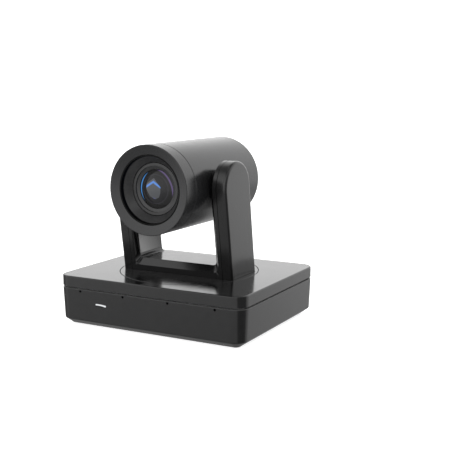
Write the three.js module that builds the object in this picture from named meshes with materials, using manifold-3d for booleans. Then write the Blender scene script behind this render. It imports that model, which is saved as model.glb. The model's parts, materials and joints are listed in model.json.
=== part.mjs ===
// PTZ conference camera: a flat base, a yoke that pans on it and a round camera head that tilts in
// the yoke. Millimetres, +Z up. The lens looks along -Y. The origin is on the surface that the feet
// stand on, under the middle of the base.

import * as THREE from 'three';
import { mergeVertices } from 'three/addons/utils/BufferGeometryUtils.js';
import Module from 'manifold-3d';

const wasm = await Module();
wasm.setup();

// ---------------------------------------------------------------- driving dimensions

const GAP = 0.3; // space between neighbouring pieces
const WALL = 3; // casing wall
const FINE = 40; // facets round a large turned face
const MEDIUM = 20; // facets round a small turned face
const LENS_FACETS = 32;
const COARSE = 8; // facets round a screw, rod or post
const FAR = 200; // reach of a block that only cuts

// Heights in the base are measured from the underside of its casing.
const FEET = { reach: 1.2, radius: 7, pocket: 1.5, x: 83, y: 62 };

const BASE = {
  width: 210,
  depth: 168,
  corner: 13.7,
  bevelTop: 5.8, // the lower edge is cut back below this height
  bevelInset: 9, // how far the underside is set in from the rim
  draft: 1.4, // how far the sides lean in, rim to bevel
  rim: 37.2, // top edge of the lower casing
  grooveDepth: 1.6, // shadow groove between the lower casing and the lid
  grooveMiddle: 38.2,
  lidEdge: 39.2, // bottom edge of the lid's side
  top: 50.2,
  wall: 4.4, // from the rim's edge to the inner face of the walls
  floor: 3,
};

const TURNTABLE = { radius: 71, thickness: 3.3, slot: 0.8, seatInner: 58, seatWall: 2.7 };

// Heights on the yoke are measured from the top of the lid.
const YOKE = {
  outer: 64, // half the width over the arm covers
  seam: 53.2, // where the covers meet the frame
  inner: 44.9, // half the width of the gap between the arms
  footFront: -25.7,
  footRear: 25.8,
  barTop: 12.7,
  edge: 3, // rounding of the covers' outer edges
  corner: 4, // rounding of the gap's lower corners
  recess: 1, // how far the yoke sits down into the turntable
  armWall: 2.5,
  bevelSide: 4.5, // bevel round the gap, across an arm
  bevelBar: 6.9, // and downwards on the bar
  bevelDepth: 3.4, // and in from the front and rear
  barHollow: 19, // half the depth of the hollow under the bar
};

const TILT = { y: -13.6, z: 90.1, armRadius: 25.8 };

// Along the lens axis, measured from the tilt axis, with the front at -Y.
const HEAD = {
  radius: 43.5,
  wall: 2.5,
  front: -62.8,
  seam: -45.4,
  rear: 86.1,
  faceInner: 33.8, // inner edge of the front face
  faceDish: 2.9, // how far the front face slopes inwards
  rim: 4, // thickness of the front ring's wall and face
  bezelEdge: 0.8,
  funnelFront: -55.7,
  funnelRear: -49.4,
  funnelOuter: 32.1,
  funnelInner: 25.8,
  glass: 18.9,
  glassEdge: -46.3,
};

// Fasteners and supports inside the base. Posts stand on the casing's floor.
const SCREW = { x: 84, y: 25, shank: 1.5, head: 2.8, headHeight: 2.4, length: 42.7, start: 0.3 };
const CHASSIS = { half: 48, front: -70, rear: 31, bottom: 33.5, thickness: 2, postX: 42, edge: 6 };
const BOARD = { bottom: 11, thickness: 1.6, halfWidth: 72, front: -18, rear: 76, postX: 66 };
const BOARD_POST_Y = [-11, 68];
const POST = { screw: 4.5, lid: 4, chassis: 3.6, board: 3 };
const RIB = { x: [-60, 0, 60], half: 2, bottom: 27, top: 31 };
const CHIPS = [
  { x: [-14, 14], y: [34, 58], height: 4 },
  { x: [-50, -36], y: [2, 12], height: 2 },
  { x: [-8, 8], y: [-12, -2], height: 2 },
  { x: [44, 58], y: [-8, 8], height: 5 },
];
const FRONT_BOARD = { y: -76.5, thickness: 1.5, half: 80, bottom: 19, top: 37.4 };

// The status light and the microphone holes in the front wall.
const LIGHT = { x: -52.5, z: 24, length: 12.6, height: 3.1, led: 2 };
const MICS = { x: [-76.7, -25.6, 25.6, 76.7], z: 36, radius: 0.85, capsule: 2 };

// The notch in the rear wall, the steel panel that fills it and the sockets on the main board.
const NOTCH = { bottom: 8.8, half: 64 };
const PANEL = { front: 77.8, thickness: 1.5, bottom: 9.2, top: 38, half: 68 };
const SOCKET_FACE = 81.2;
const SOCKETS = {
  power: { x: 50, width: 9.5, height: 11, depth: 14, hollow: 3.2, reach: 9.5, pin: 1 },
  lan: {
    x: 26, width: 16, height: 13.4, depth: 19, half: 5.95, top: 1.4, low: 9.6, latch: 12, reach: 14,
  },
  usb: {
    x: 4, width: 12, height: 11, depth: 17, half: 4.2, tall: 3.9, tongue: 2.8, thick: 1.6, reach: 10,
  },
  hdmi: {
    x: -19, width: 15, height: 6.2, depth: 11, half: 7, tall: 2.3, tongue: 5.5, thick: 0.5, reach: 9,
  },
  serial: { x: -44, width: 14, height: 13, depth: 13, hollow: 4.5, reach: 7 },
};

const TRIPOD = {
  width: 64, // recess for the plate
  depth: 44,
  corner: 4,
  recess: 1.8,
  plate: 1.5,
  insert: 5.5,
  flange: 9.5,
  top: 9,
  bore: 2.6,
  boreDepth: 7.5,
  guide: 2.2,
  guideX: 22,
};
const BEARING = { outer: 19, inner: 12.8, bottom: 28, height: 6.5 };
const HUB = { outer: 12.5, inner: 8, flange: 24, flangeHeight: 2.5, bottom: 26 };
const MOTOR = { side: 35.2, corner: 4, height: 22, shaft: 2.5, pilot: 5.5, pilotHeight: 1.5 };

const YOKE_SCREW = { x: 36, shank: 1.5, head: 2.8, headHeight: 2, length: 9, post: 4 };
const AXLE = {
  radius: 6,
  bearing: 11,
  boss: 13.5,
  setBack: 1.5, // from the arms' seam to the ends of the bearings and their bosses
  ear: 14,
  flange: 11,
  inside: 33.6,
  mouth: 36,
};
const TILT_MOTOR = { radius: 10, start: 49, end: 56.4, shaft: 1.5 };

// Along the lens axis, measured from the tilt axis.
const BARREL = { front: HEAD.seam + GAP / 2, cap: 2.5, capRecess: 0.6, bevel: 0.7, rearEdge: 1.2 };
const HOOD = { lip: 0.9, flange: 2, throat: 1.8 };
const LENS_FLANGE = { y: -28, thickness: 3, radius: 34 };
const LENS_RINGS = { lipInner: 22, lipOuter: 22.4, step: 1.4, cell: 15, cellDepth: 8 };
const FRONT_LENS = { edge: 7, bulge: 5.5 };
const INNER_LENS = { edge: 2.4, bulge: 1.2 };
const OPTICS = {
  front: -24.7,
  rear: 32,
  plate: 2.5,
  rearRadius: 30,
  railX: 24,
  rail: 3,
  rodZ: 24,
  hole: 16,
  sensorHole: 10,
};
const GUIDE_ROD = 1.5;
const LEAD_SCREW = { radius: 1.2, x: 9, z: 22.5 };
const CARRIAGE = { ring: 15, bore: 11.3, thickness: 5, arm: 3.5, nut: 3 };
const ZOOM = { y: -19, lens: 11 };
const FOCUS = { y: 12, lens: 11 };
const IRIS = { y: 1, radius: 19, opening: 5.5, blades: 6, thickness: 0.8 };
const LENS_MOTOR = { radius: 5.5, length: 12 };
const SENSOR = { half: 22, bottom: -26, top: 15.5, thickness: 1.6, chipX: 6.5, chipZ: 5, chip: 2 };

const PAN_DRIVE = { module: 1.5, gearTeeth: 48, pinionTeeth: 12, width: 6, bottom: 37.5 };
const TILT_DRIVE = { module: 1, gearTeeth: 36, pinionTeeth: 12, width: 4, start: 57 };
const PRESSURE_ANGLE = THREE.MathUtils.degToRad(25);

// ---------------------------------------------------------------- solids

// A closed three.js geometry as a solid that can be joined and cut.
function solidFrom(geometry) {
  geometry.deleteAttribute('normal');
  geometry.deleteAttribute('uv');
  const merged = mergeVertices(geometry);
  const points = merged.attributes.position;
  const [a, b, c] = [new THREE.Vector3(), new THREE.Vector3(), new THREE.Vector3()];
  const triangles = [];
  let volume = 0;
  for (let i = 0; i < merged.index.count; i += 3) {
    const [p, q, r] = [0, 1, 2].map((corner) => merged.index.getX(i + corner));
    if (p === q || q === r || r === p) {
      continue;
    }
    triangles.push([p, q, r]);
    a.fromBufferAttribute(points, p);
    b.fromBufferAttribute(points, q);
    c.fromBufferAttribute(points, r);
    volume += a.dot(b.cross(c));
  }
  const outward = volume > 0 ? triangles : triangles.map(([p, q, r]) => [p, r, q]);
  const mesh = new wasm.Mesh({
    numProp: 3,
    vertProperties: Float32Array.from(points.array),
    triVerts: Uint32Array.from(outward.flat()),
  });
  return new wasm.Manifold(mesh);
}

function geometryFrom(solid) {
  const mesh = solid.getMesh();
  const geometry = new THREE.BufferGeometry();
  geometry.setAttribute('position', new THREE.BufferAttribute(mesh.vertProperties, 3));
  geometry.setIndex(new THREE.BufferAttribute(mesh.triVerts, 1));
  geometry.computeVertexNormals();
  return geometry;
}

function join(first, ...others) {
  return others.reduce((whole, piece) => whole.add(piece), first);
}

function cut(first, ...others) {
  return others.reduce((whole, piece) => whole.subtract(piece), first);
}

// Turns a geometry built along `from` so that it runs along `axis`, and moves it to `at`.
function placed(geometry, from, axis, at) {
  const turns = {
    yx: new THREE.Matrix4().makeRotationZ(-Math.PI / 2),
    yz: new THREE.Matrix4().makeRotationX(Math.PI / 2),
    zx: new THREE.Matrix4().makeBasis(
      new THREE.Vector3(0, 1, 0),
      new THREE.Vector3(0, 0, 1),
      new THREE.Vector3(1, 0, 0),
    ),
    zy: new THREE.Matrix4().makeBasis(
      new THREE.Vector3(1, 0, 0),
      new THREE.Vector3(0, 0, 1),
      new THREE.Vector3(0, 1, 0),
    ),
  };
  if (from !== axis) {
    geometry.applyMatrix4(turns[from + axis]);
  }
  geometry.translate(at.x ?? 0, at.y ?? 0, at.z ?? 0);
  return solidFrom(geometry);
}

function block([x0, x1], [y0, y1], [z0, z1]) {
  const geometry = new THREE.BoxGeometry(x1 - x0, y1 - y0, z1 - z0);
  geometry.translate((x0 + x1) / 2, (y0 + y1) / 2, (z0 + z1) / 2);
  return solidFrom(geometry);
}

// A solid turned about an axis. The profile is a closed loop of [radius, distance along the axis].
function turned(profile, { axis = 'z', facets = FINE, ...at } = {}) {
  const loop = profile.map(([radius, along]) => new THREE.Vector2(radius, along));
  loop.push(loop[0].clone());
  return placed(new THREE.LatheGeometry(loop, facets), 'y', axis, at);
}

function rod(radius, [start, end], { axis = 'z', facets = COARSE, ...at } = {}) {
  const geometry = new THREE.CylinderGeometry(radius, radius, end - start, facets);
  geometry.translate(0, (start + end) / 2, 0);
  return placed(geometry, 'y', axis, at);
}

function tube(outer, inner, [start, end], options = {}) {
  return turned([[inner, start], [outer, start], [outer, end], [inner, end]], options);
}

// A flat outline pushed from start to end. Along z it is drawn in (x, y), along y in (x, z) and
// along x in (y, z).
function prism(shape, [start, end], { axis = 'z', curve = 6, ...at } = {}) {
  const options = { depth: end - start, bevelEnabled: false, curveSegments: curve };
  const geometry = new THREE.ExtrudeGeometry(shape, options);
  geometry.translate(0, 0, start);
  return placed(geometry, 'z', axis, at);
}

// A solid through matching rings of points. Each ring is flat and convex.
function loft(rings) {
  const count = rings[0].length;
  const positions = rings.flat().flatMap((point) => point.toArray());
  const index = [];
  for (let ring = 0; ring < rings.length - 1; ring += 1) {
    for (let i = 0; i < count; i += 1) {
      const next = (i + 1) % count;
      const [low, high] = [ring * count, (ring + 1) * count];
      index.push(low + i, low + next, high + next, low + i, high + next, high + i);
    }
  }
  const last = (rings.length - 1) * count;
  for (let i = 1; i < count - 1; i += 1) {
    index.push(0, i + 1, i, last, last + i, last + i + 1);
  }
  const geometry = new THREE.BufferGeometry();
  geometry.setAttribute('position', new THREE.Float32BufferAttribute(positions, 3));
  geometry.setIndex(index);
  return solidFrom(geometry);
}

// ---------------------------------------------------------------- outlines

function roundedRectangle(width, depth, radius) {
  const [x, y] = [width / 2 - radius, depth / 2 - radius];
  const shape = new THREE.Shape();
  shape.absarc(x, y, radius, 0, Math.PI / 2);
  shape.absarc(-x, y, radius, Math.PI / 2, Math.PI);
  shape.absarc(-x, -y, radius, Math.PI, 1.5 * Math.PI);
  shape.absarc(x, -y, radius, 1.5 * Math.PI, 2 * Math.PI);
  return shape;
}

function circle(radius) {
  return new THREE.Shape().absarc(0, 0, radius, 0, 2 * Math.PI);
}

// The base's outline set in by a distance at a height, one ring of a loft.
function baseRing(inset, z) {
  const radius = Math.max(BASE.corner - inset, 2);
  const outline = roundedRectangle(BASE.width - 2 * inset, BASE.depth - 2 * inset, radius);
  return outline.getPoints(3).slice(0, -1).map((point) => new THREE.Vector3(point.x, point.y, z));
}

// An involute gear with one tooth centred on the angle `phase`. A big gear's flanks are nearly
// straight, so they take two points each, and a pinion's take three.
function gearOutline(teeth, module, phase) {
  const backlash = 0.1;
  const pitch = (teeth * module) / 2;
  const baseCircle = pitch * Math.cos(PRESSURE_ANGLE);
  const [root, tip] = [pitch - 1.2 * module, pitch + 0.85 * module];
  const radii = teeth > 20 ? [root, tip] : [root, pitch, tip];
  const involute = (angle) => Math.tan(angle) - angle;
  const halfAngle = (radius) => {
    const pressure = Math.acos(Math.min(1, baseCircle / radius));
    const atPitch = Math.PI / (2 * teeth) - backlash / pitch;
    return atPitch + involute(PRESSURE_ANGLE) - involute(pressure);
  };
  const flank = radii.map((radius) => ({ radius, angle: halfAngle(radius) }));
  const points = [];
  for (let tooth = 0; tooth < teeth; tooth += 1) {
    const middle = phase + (tooth * 2 * Math.PI) / teeth;
    const rising = flank.map(({ radius, angle }) => [radius, middle - angle]);
    const falling = flank.map(({ radius, angle }) => [radius, middle + angle]).reverse();
    for (const [radius, angle] of [...rising, ...falling]) {
      points.push(new THREE.Vector2(radius * Math.cos(angle), radius * Math.sin(angle)));
    }
  }
  return new THREE.Shape(points);
}

// Where the straight edge through the foot at z = 0 touches a circle round the tilt axis.
function armTangent(footY, radius, side) {
  const towards = Math.atan2(-TILT.z, footY - TILT.y);
  const distance = Math.hypot(TILT.z, footY - TILT.y);
  return towards + side * Math.acos(radius / distance);
}

// Side view of an arm in (y, z): a tapering leg with a round top, carried on below z = 0.
function armOutline(inset) {
  const below = -20;
  const radius = TILT.armRadius - inset;
  const edges = [
    { foot: YOKE.footRear - inset, angle: armTangent(YOKE.footRear - inset, radius, 1) },
    { foot: YOKE.footFront + inset, angle: armTangent(YOKE.footFront + inset, radius, -1) },
  ];
  const [rear, front] = edges.map(({ foot, angle }) => {
    const touch = new THREE.Vector2(Math.cos(angle), Math.sin(angle)).multiplyScalar(radius);
    touch.add(new THREE.Vector2(TILT.y, TILT.z));
    const slope = (touch.x - foot) / touch.y;
    return { touch, angle, low: new THREE.Vector2(foot + slope * below, below) };
  });
  const shape = new THREE.Shape();
  shape.moveTo(front.low.x, front.low.y);
  shape.lineTo(rear.low.x, rear.low.y);
  shape.lineTo(rear.touch.x, rear.touch.y);
  shape.absarc(TILT.y, TILT.z, radius, rear.angle, front.angle + 2 * Math.PI);
  return shape;
}

// The front (side -1) or rear (side 1) edge of the legs at a height.
function legEdge(z, side) {
  const foot = side < 0 ? YOKE.footFront : YOKE.footRear;
  const angle = armTangent(foot, TILT.armRadius, side);
  const touchY = TILT.y + TILT.armRadius * Math.cos(angle);
  const touchZ = TILT.z + TILT.armRadius * Math.sin(angle);
  return foot + ((touchY - foot) * z) / touchZ;
}

// Front view of the gap between the arms in (x, z): straight sides and a rounded floor.
function gapOutline(half, floor, radius) {
  const top = TILT.z + TILT.armRadius + 10;
  const steps = 4;
  const corner = (x, start) => Array.from({ length: steps + 1 }, (_, step) => {
    const angle = start + (step * Math.PI) / (2 * steps);
    return new THREE.Vector2(x + radius * Math.cos(angle), floor + radius + radius * Math.sin(angle));
  });
  return new THREE.Shape([
    new THREE.Vector2(-half, top),
    ...corner(-half + radius, Math.PI),
    ...corner(half - radius, 1.5 * Math.PI),
    new THREE.Vector2(half, top),
  ]);
}

// ---------------------------------------------------------------- base

const chassisPostY = [CHASSIS.front + CHASSIS.edge, CHASSIS.rear - CHASSIS.edge];
const innerFront = -BASE.depth / 2 + BASE.wall;
const socketFloor = BOARD.bottom + BOARD.thickness + GAP;
const corners = (x, y) => [[-x, -y], [x, -y], [-x, y], [x, y]];
const panPitch = (PAN_DRIVE.module * PAN_DRIVE.gearTeeth) / 2;
const panPinionPitch = (PAN_DRIVE.module * PAN_DRIVE.pinionTeeth) / 2;
const panPinionY = -(panPitch + panPinionPitch);

// How far the front and rear walls have leaned in at a height.
function draftAt(z) {
  return (BASE.draft * (BASE.rim - z)) / (BASE.rim - BASE.bevelTop);
}

function pill(length, height) {
  return roundedRectangle(length, height, height / 2 - 0.01);
}

function baseHousing() {
  const grooveFloor = BASE.grooveMiddle - GAP / 2;
  const outside = loft([
    baseRing(BASE.bevelInset, 0),
    baseRing(BASE.draft, BASE.bevelTop),
    baseRing(0, BASE.rim),
    baseRing(BASE.grooveDepth, grooveFloor),
  ]);
  const inside = loft([
    baseRing(BASE.bevelInset + WALL, BASE.floor),
    baseRing(BASE.wall, BASE.bevelTop + WALL),
    baseRing(BASE.wall, BASE.top),
  ]);
  const post = (radius, height, x, y) => rod(radius, [BASE.floor - 1, height], { x, y });
  const pair = (radius, height, x, y) => [post(radius, height, -x, y), post(radius, height, x, y)];
  const screwPosts = corners(SCREW.x, SCREW.y).map(([x, y]) => post(POST.screw, BASE.rim, x, y));
  const chassisPosts = chassisPostY.flatMap((y) =>
    pair(POST.chassis, CHASSIS.bottom - GAP, CHASSIS.postX, y));
  const boardPosts = BOARD_POST_Y.flatMap((y) =>
    pair(POST.board, BOARD.bottom - GAP, BOARD.postX, y));
  const ribs = RIB.x.map((x) =>
    block([x - RIB.half, x + RIB.half], [innerFront - 1, FRONT_BOARD.y - GAP], [RIB.bottom, RIB.top]));
  const shell = join(cut(outside, inside), ...screwPosts, ...chassisPosts, ...boardPosts, ...ribs);

  const feet = corners(FEET.x, FEET.y).map(([x, y]) =>
    rod(FEET.radius + GAP, [-1, FEET.pocket], { x, y, facets: MEDIUM }));
  const screwHoles = corners(SCREW.x, SCREW.y).flatMap(([x, y]) => [
    rod(SCREW.head + GAP, [-1, SCREW.start + SCREW.headHeight + GAP], { x, y }),
    rod(SCREW.shank + GAP, [-1, BASE.top], { x, y }),
  ]);
  const tripodRecess = [
    prism(roundedRectangle(TRIPOD.width, TRIPOD.depth, TRIPOD.corner), [-1, TRIPOD.recess], { curve: 3 }),
    rod(TRIPOD.insert + GAP, [-1, BASE.floor + 1], { facets: MEDIUM }),
  ];
  const frontFace = [-BASE.depth / 2 - 1, innerFront + 0.5];
  const micHoles = MICS.x.map((x) =>
    rod(MICS.radius, frontFace, { axis: 'y', facets: 10, x, z: MICS.z }));
  const lightHole = prism(pill(LIGHT.length + 2 * GAP, LIGHT.height + 2 * GAP), frontFace,
    { axis: 'y', curve: 4, x: LIGHT.x, z: LIGHT.z });
  const notch = block([-NOTCH.half, NOTCH.half], [PANEL.front, BASE.depth], [NOTCH.bottom, BASE.top]);
  return cut(shell, ...feet, ...screwHoles, ...tripodRecess, ...micHoles, lightHole, notch);
}

function baseLid() {
  const edge = 1.2;
  const outside = loft([
    baseRing(BASE.grooveDepth, BASE.grooveMiddle + GAP / 2),
    baseRing(0, BASE.lidEdge),
    baseRing(0, BASE.top - edge),
    baseRing(0.3 * edge, BASE.top - 0.3 * edge),
    baseRing(edge, BASE.top),
  ]);
  const inside = loft([baseRing(BASE.wall, BASE.floor), baseRing(BASE.wall, BASE.top - WALL)]);
  const slotRadius = TURNTABLE.radius + TURNTABLE.slot;
  const seatTop = BASE.top - TURNTABLE.thickness - GAP;
  const seatBottom = seatTop - TURNTABLE.seatWall;
  const seat = rod(slotRadius + WALL, [seatBottom, BASE.top - 1], { facets: FINE });
  const bosses = corners(SCREW.x, SCREW.y).map(([x, y]) =>
    rod(POST.lid, [BASE.rim + 1, BASE.top - 1], { x, y }));
  const holes = corners(SCREW.x, SCREW.y).map(([x, y]) =>
    rod(SCREW.shank + GAP, [BASE.rim, SCREW.start + SCREW.length + 1], { x, y }));
  return cut(
    join(cut(outside, inside), seat, ...bosses),
    rod(slotRadius, [seatTop, BASE.top + 1], { facets: FINE }),
    rod(TURNTABLE.seatInner, [seatBottom - 1, BASE.top], { facets: FINE }),
    ...holes,
  );
}

function rubberFoot([x, y]) {
  return rod(FEET.radius, [-FEET.reach, FEET.pocket - GAP], { x, y, facets: MEDIUM });
}

function lidScrew([x, y]) {
  const { shank, head, headHeight, length, start } = SCREW;
  return join(
    rod(head, [start, start + headHeight], { x, y }),
    rod(shank, [start + 1, start + length], { x, y }),
  );
}

function tripodPlate() {
  const [width, depth] = [TRIPOD.width - 2 * GAP, TRIPOD.depth - 2 * GAP];
  const outline = roundedRectangle(width, depth, TRIPOD.corner - GAP);
  const plate = prism(outline, [0, TRIPOD.plate], { curve: 3 });
  const through = [-1, TRIPOD.plate + 1];
  const guides = [-1, 1].map((side) => rod(TRIPOD.guide, through, { x: side * TRIPOD.guideX }));
  return cut(plate, rod(TRIPOD.insert + GAP, through, { facets: MEDIUM }), ...guides);
}

// Threaded bush for a tripod screw, with a flange that rests on the casing floor.
function tripodInsert() {
  const { insert, flange, top, bore, boreDepth } = TRIPOD;
  const facets = MEDIUM;
  const collar = rod(flange, [BASE.floor + GAP, 2 * BASE.floor], { facets });
  return cut(join(rod(insert, [0.1, top], { facets }), collar), rod(bore, [-1, boreDepth], { facets }));
}

function mainBoard() {
  const top = BOARD.bottom + BOARD.thickness;
  const board = block([-BOARD.halfWidth, BOARD.halfWidth], [BOARD.front, BOARD.rear],
    [BOARD.bottom, top]);
  const chips = CHIPS.map(({ x, y, height }) => block(x, y, [top - GAP, top + height]));
  const holes = [-1, 1].map((side) => rod(POST.chassis + GAP, [BOARD.bottom - 1, top + 1],
    { x: side * CHASSIS.postX, y: chassisPostY[1] }));
  return cut(join(board, ...chips), ...holes);
}

// Upright board behind the front wall with the four microphones and the light's LED.
function frontBoard() {
  const back = FRONT_BOARD.y + FRONT_BOARD.thickness;
  const board = block([-FRONT_BOARD.half, FRONT_BOARD.half], [FRONT_BOARD.y, back],
    [FRONT_BOARD.bottom, FRONT_BOARD.top]);
  const microphones = MICS.x.map((x) =>
    rod(MICS.capsule, [innerFront + GAP, FRONT_BOARD.y + 1], { axis: 'y', x, z: MICS.z - 1 }));
  const led = block([LIGHT.x - LIGHT.led, LIGHT.x + LIGHT.led], [FRONT_BOARD.y - 0.8, back],
    [LIGHT.z - LIGHT.led / 2, LIGHT.z + LIGHT.led / 2]);
  return join(board, ...microphones, led);
}

function statusLight() {
  const outerFace = -BASE.depth / 2 + draftAt(LIGHT.z);
  return prism(pill(LIGHT.length, LIGHT.height), [outerFace, FRONT_BOARD.y - 1.1],
    { axis: 'y', curve: 4, x: LIGHT.x, z: LIGHT.z });
}

function socketShell({ x, width, height, depth }) {
  return block([x - width / 2, x + width / 2], [SOCKET_FACE - depth, SOCKET_FACE],
    [socketFloor, socketFloor + height]);
}

function rearPanel() {
  const span = [PANEL.front, PANEL.front + PANEL.thickness];
  const sheet = block([-PANEL.half, PANEL.half], span, [PANEL.bottom, PANEL.top]);
  const holes = Object.values(SOCKETS).map(({ x, width, height }) => block(
    [x - width / 2 - GAP, x + width / 2 + GAP],
    [PANEL.front - 1, PANEL.front + 3],
    [socketFloor - GAP, socketFloor + height + GAP],
  ));
  return cut(sheet, ...holes);
}

// Middle height of a socket's shell.
function socketMiddle({ height }) {
  return socketFloor + height / 2;
}

function powerSocket() {
  const { x, hollow, reach, pin } = SOCKETS.power;
  const at = { axis: 'y', x, z: socketMiddle(SOCKETS.power), facets: MEDIUM };
  const opening = rod(hollow, [SOCKET_FACE - reach, SOCKET_FACE + 1], at);
  const contact = rod(pin, [SOCKET_FACE - reach - 0.5, SOCKET_FACE - 1], { ...at, facets: COARSE });
  return join(cut(socketShell(SOCKETS.power), opening), contact);
}

function lanSocket() {
  const { x, height, half, top, low, latch, reach } = SOCKETS.lan;
  const roof = socketFloor + height;
  const inside = [SOCKET_FACE - reach, SOCKET_FACE + 1];
  const opening = block([x - half, x + half], inside, [roof - low, roof - top]);
  const latchWay = block([x - half / 2, x + half / 2], inside, [roof - latch, roof - low + 1]);
  return cut(socketShell(SOCKETS.lan), opening, latchWay);
}

function usbSocket() {
  const { x, half, tall, tongue, thick, reach } = SOCKETS.usb;
  const z = socketMiddle(SOCKETS.usb);
  const inside = [SOCKET_FACE - reach, SOCKET_FACE + 1];
  const opening = block([x - half, x + half], inside, [z - tall, z + tall]);
  const plate = block([x - tongue, x + tongue], [SOCKET_FACE - reach - 1, SOCKET_FACE - 1],
    [z - thick, z + thick]);
  return join(cut(socketShell(SOCKETS.usb), opening), plate);
}

function hdmiSocket() {
  const { x, half, tall, tongue, thick, reach } = SOCKETS.hdmi;
  const z = socketMiddle(SOCKETS.hdmi);
  const outline = new THREE.Shape();
  outline.moveTo(-half, tall);
  outline.lineTo(half, tall);
  outline.lineTo(half, -thick);
  outline.lineTo(tongue, -tall);
  outline.lineTo(-tongue, -tall);
  outline.lineTo(-half, -thick);
  const opening = prism(outline, [SOCKET_FACE - reach, SOCKET_FACE + 1], { axis: 'y', x, z });
  const plate = block([x - tongue, x + tongue], [SOCKET_FACE - reach - 1, SOCKET_FACE - 1],
    [z - thick / 2, z + thick]);
  return join(cut(socketShell(SOCKETS.hdmi), opening), plate);
}

function serialSocket() {
  const { x, hollow, reach } = SOCKETS.serial;
  const at = { axis: 'y', x, z: socketMiddle(SOCKETS.serial), facets: MEDIUM };
  return cut(socketShell(SOCKETS.serial), rod(hollow, [SOCKET_FACE - reach, SOCKET_FACE + 1], at));
}

// Steel bridge that carries the pan bearing and the pan motor.
function panChassis() {
  const { half, front, rear, bottom, thickness, postX } = CHASSIS;
  const top = bottom + thickness;
  const cupRadius = BEARING.outer + GAP;
  const cup = rod(cupRadius + WALL, [BEARING.bottom - 2, bottom + 0.5], { facets: FINE });
  const plate = block([-half, half], [front, rear], [bottom, top]);
  const through = [bottom - 1, top + 1];
  const screws = chassisPostY.flatMap((y) =>
    [-postX, postX].map((x) => rod(SCREW.shank, through, { x, y })));
  return cut(
    join(plate, cup),
    rod(cupRadius, [BEARING.bottom - GAP, top + 1], { facets: FINE }),
    rod(BEARING.outer - WALL, [0, top + 1], { facets: FINE }),
    rod(MOTOR.pilot + GAP, [bottom - 1, top + 1], { y: panPinionY, facets: MEDIUM }),
    ...screws,
  );
}

function panBearing() {
  const { outer, inner, bottom, height } = BEARING;
  return tube(outer, inner, [bottom, bottom + height], { facets: MEDIUM });
}

// Square stepper motor with cut corners, a round pilot and a bore for its shaft.
function panMotor() {
  const top = CHASSIS.bottom - GAP;
  const { side, corner, height, shaft, pilot, pilotHeight } = MOTOR;
  const half = side / 2;
  const quarter = [new THREE.Vector2(half, half - corner), new THREE.Vector2(half - corner, half)];
  const points = [0, 1, 2, 3].flatMap((turn) =>
    quarter.map((point) => point.clone().rotateAround(new THREE.Vector2(), (turn * Math.PI) / 2)));
  const at = { y: panPinionY };
  const body = prism(new THREE.Shape(points), [top - height, top], at);
  const round = { ...at, facets: MEDIUM };
  const neck = rod(pilot, [top - 1, CHASSIS.bottom + pilotHeight], round);
  const bore = rod(shaft + GAP, [top - height / 3, CHASSIS.bottom + 2 * pilotHeight], round);
  return cut(join(body, neck), bore);
}

// Pinion and motor shaft in one piece, one tooth towards the pan axis.
function panPinion() {
  const { module, pinionTeeth, bottom, width } = PAN_DRIVE;
  const at = { y: panPinionY };
  const teeth = prism(gearOutline(pinionTeeth, module, Math.PI / 2), [bottom, bottom + width], at);
  const span = [CHASSIS.bottom - MOTOR.height / 3 + 1, bottom + width + GAP];
  return join(teeth, rod(MOTOR.shaft, span, { ...at, facets: MEDIUM }));
}

// ---------------------------------------------------------------- yoke

const tiltPitch = (TILT_DRIVE.module * TILT_DRIVE.gearTeeth) / 2;
const tiltPinionPitch = (TILT_DRIVE.module * TILT_DRIVE.pinionTeeth) / 2;
const tiltPinionZ = TILT.z - tiltPitch - tiltPinionPitch;

function turntable() {
  const bottom = -TURNTABLE.thickness;
  const disc = rod(TURNTABLE.radius, [bottom, 0], { facets: FINE });
  const width = 2 * YOKE.outer + 2 * GAP;
  const depth = YOKE.footRear - YOKE.footFront + 2 * GAP;
  const middle = (YOKE.footRear + YOKE.footFront) / 2;
  const seat = prism(roundedRectangle(width, depth, YOKE.edge), [-YOKE.recess, 1],
    { y: middle, curve: 3 });
  const holes = [-1, 1].map((side) =>
    rod(YOKE_SCREW.shank + GAP, [bottom - 1, 1], { x: side * YOKE_SCREW.x }));
  return cut(disc, seat, rod(HUB.inner, [bottom - 1, 1], { facets: MEDIUM }), ...holes);
}

// Hollow hub under the turntable, so that the wiring can pass up the pan axis.
function panHub() {
  const top = -TURNTABLE.thickness - GAP;
  const { outer, inner, flange, flangeHeight, bottom } = HUB;
  return turned([
    [inner, bottom - BASE.top],
    [outer, bottom - BASE.top],
    [outer, top - flangeHeight],
    [flange, top - flangeHeight],
    [flange, top],
    [inner, top],
  ], { facets: MEDIUM });
}

function panGear() {
  const { module, gearTeeth, bottom, width } = PAN_DRIVE;
  const start = bottom - BASE.top;
  const gap = -Math.PI / 2 + Math.PI / gearTeeth;
  const outline = gearOutline(gearTeeth, module, gap);
  outline.holes.push(circle(HUB.outer + GAP));
  return prism(outline, [start, start + width], { curve: MEDIUM / 2 });
}

// The bevel that opens out the front or rear of the gap, as a solid to cut away.
function gapMouth(side) {
  const ring = (half, floor, radius, depth) =>
    gapOutline(half, floor, radius).getPoints().map((point) =>
      new THREE.Vector3(point.x, legEdge(point.y, side) - side * depth, point.y));
  const { inner, barTop, bevelSide, bevelBar, bevelDepth, corner } = YOKE;
  return loft([
    ring(inner + 2 * bevelSide, barTop - 2 * bevelBar, 2.5 * corner, -bevelDepth),
    ring(inner + bevelSide, barTop - bevelBar, 1.75 * corner, 0),
    ring(inner, barTop, corner, bevelDepth),
  ]);
}

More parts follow.
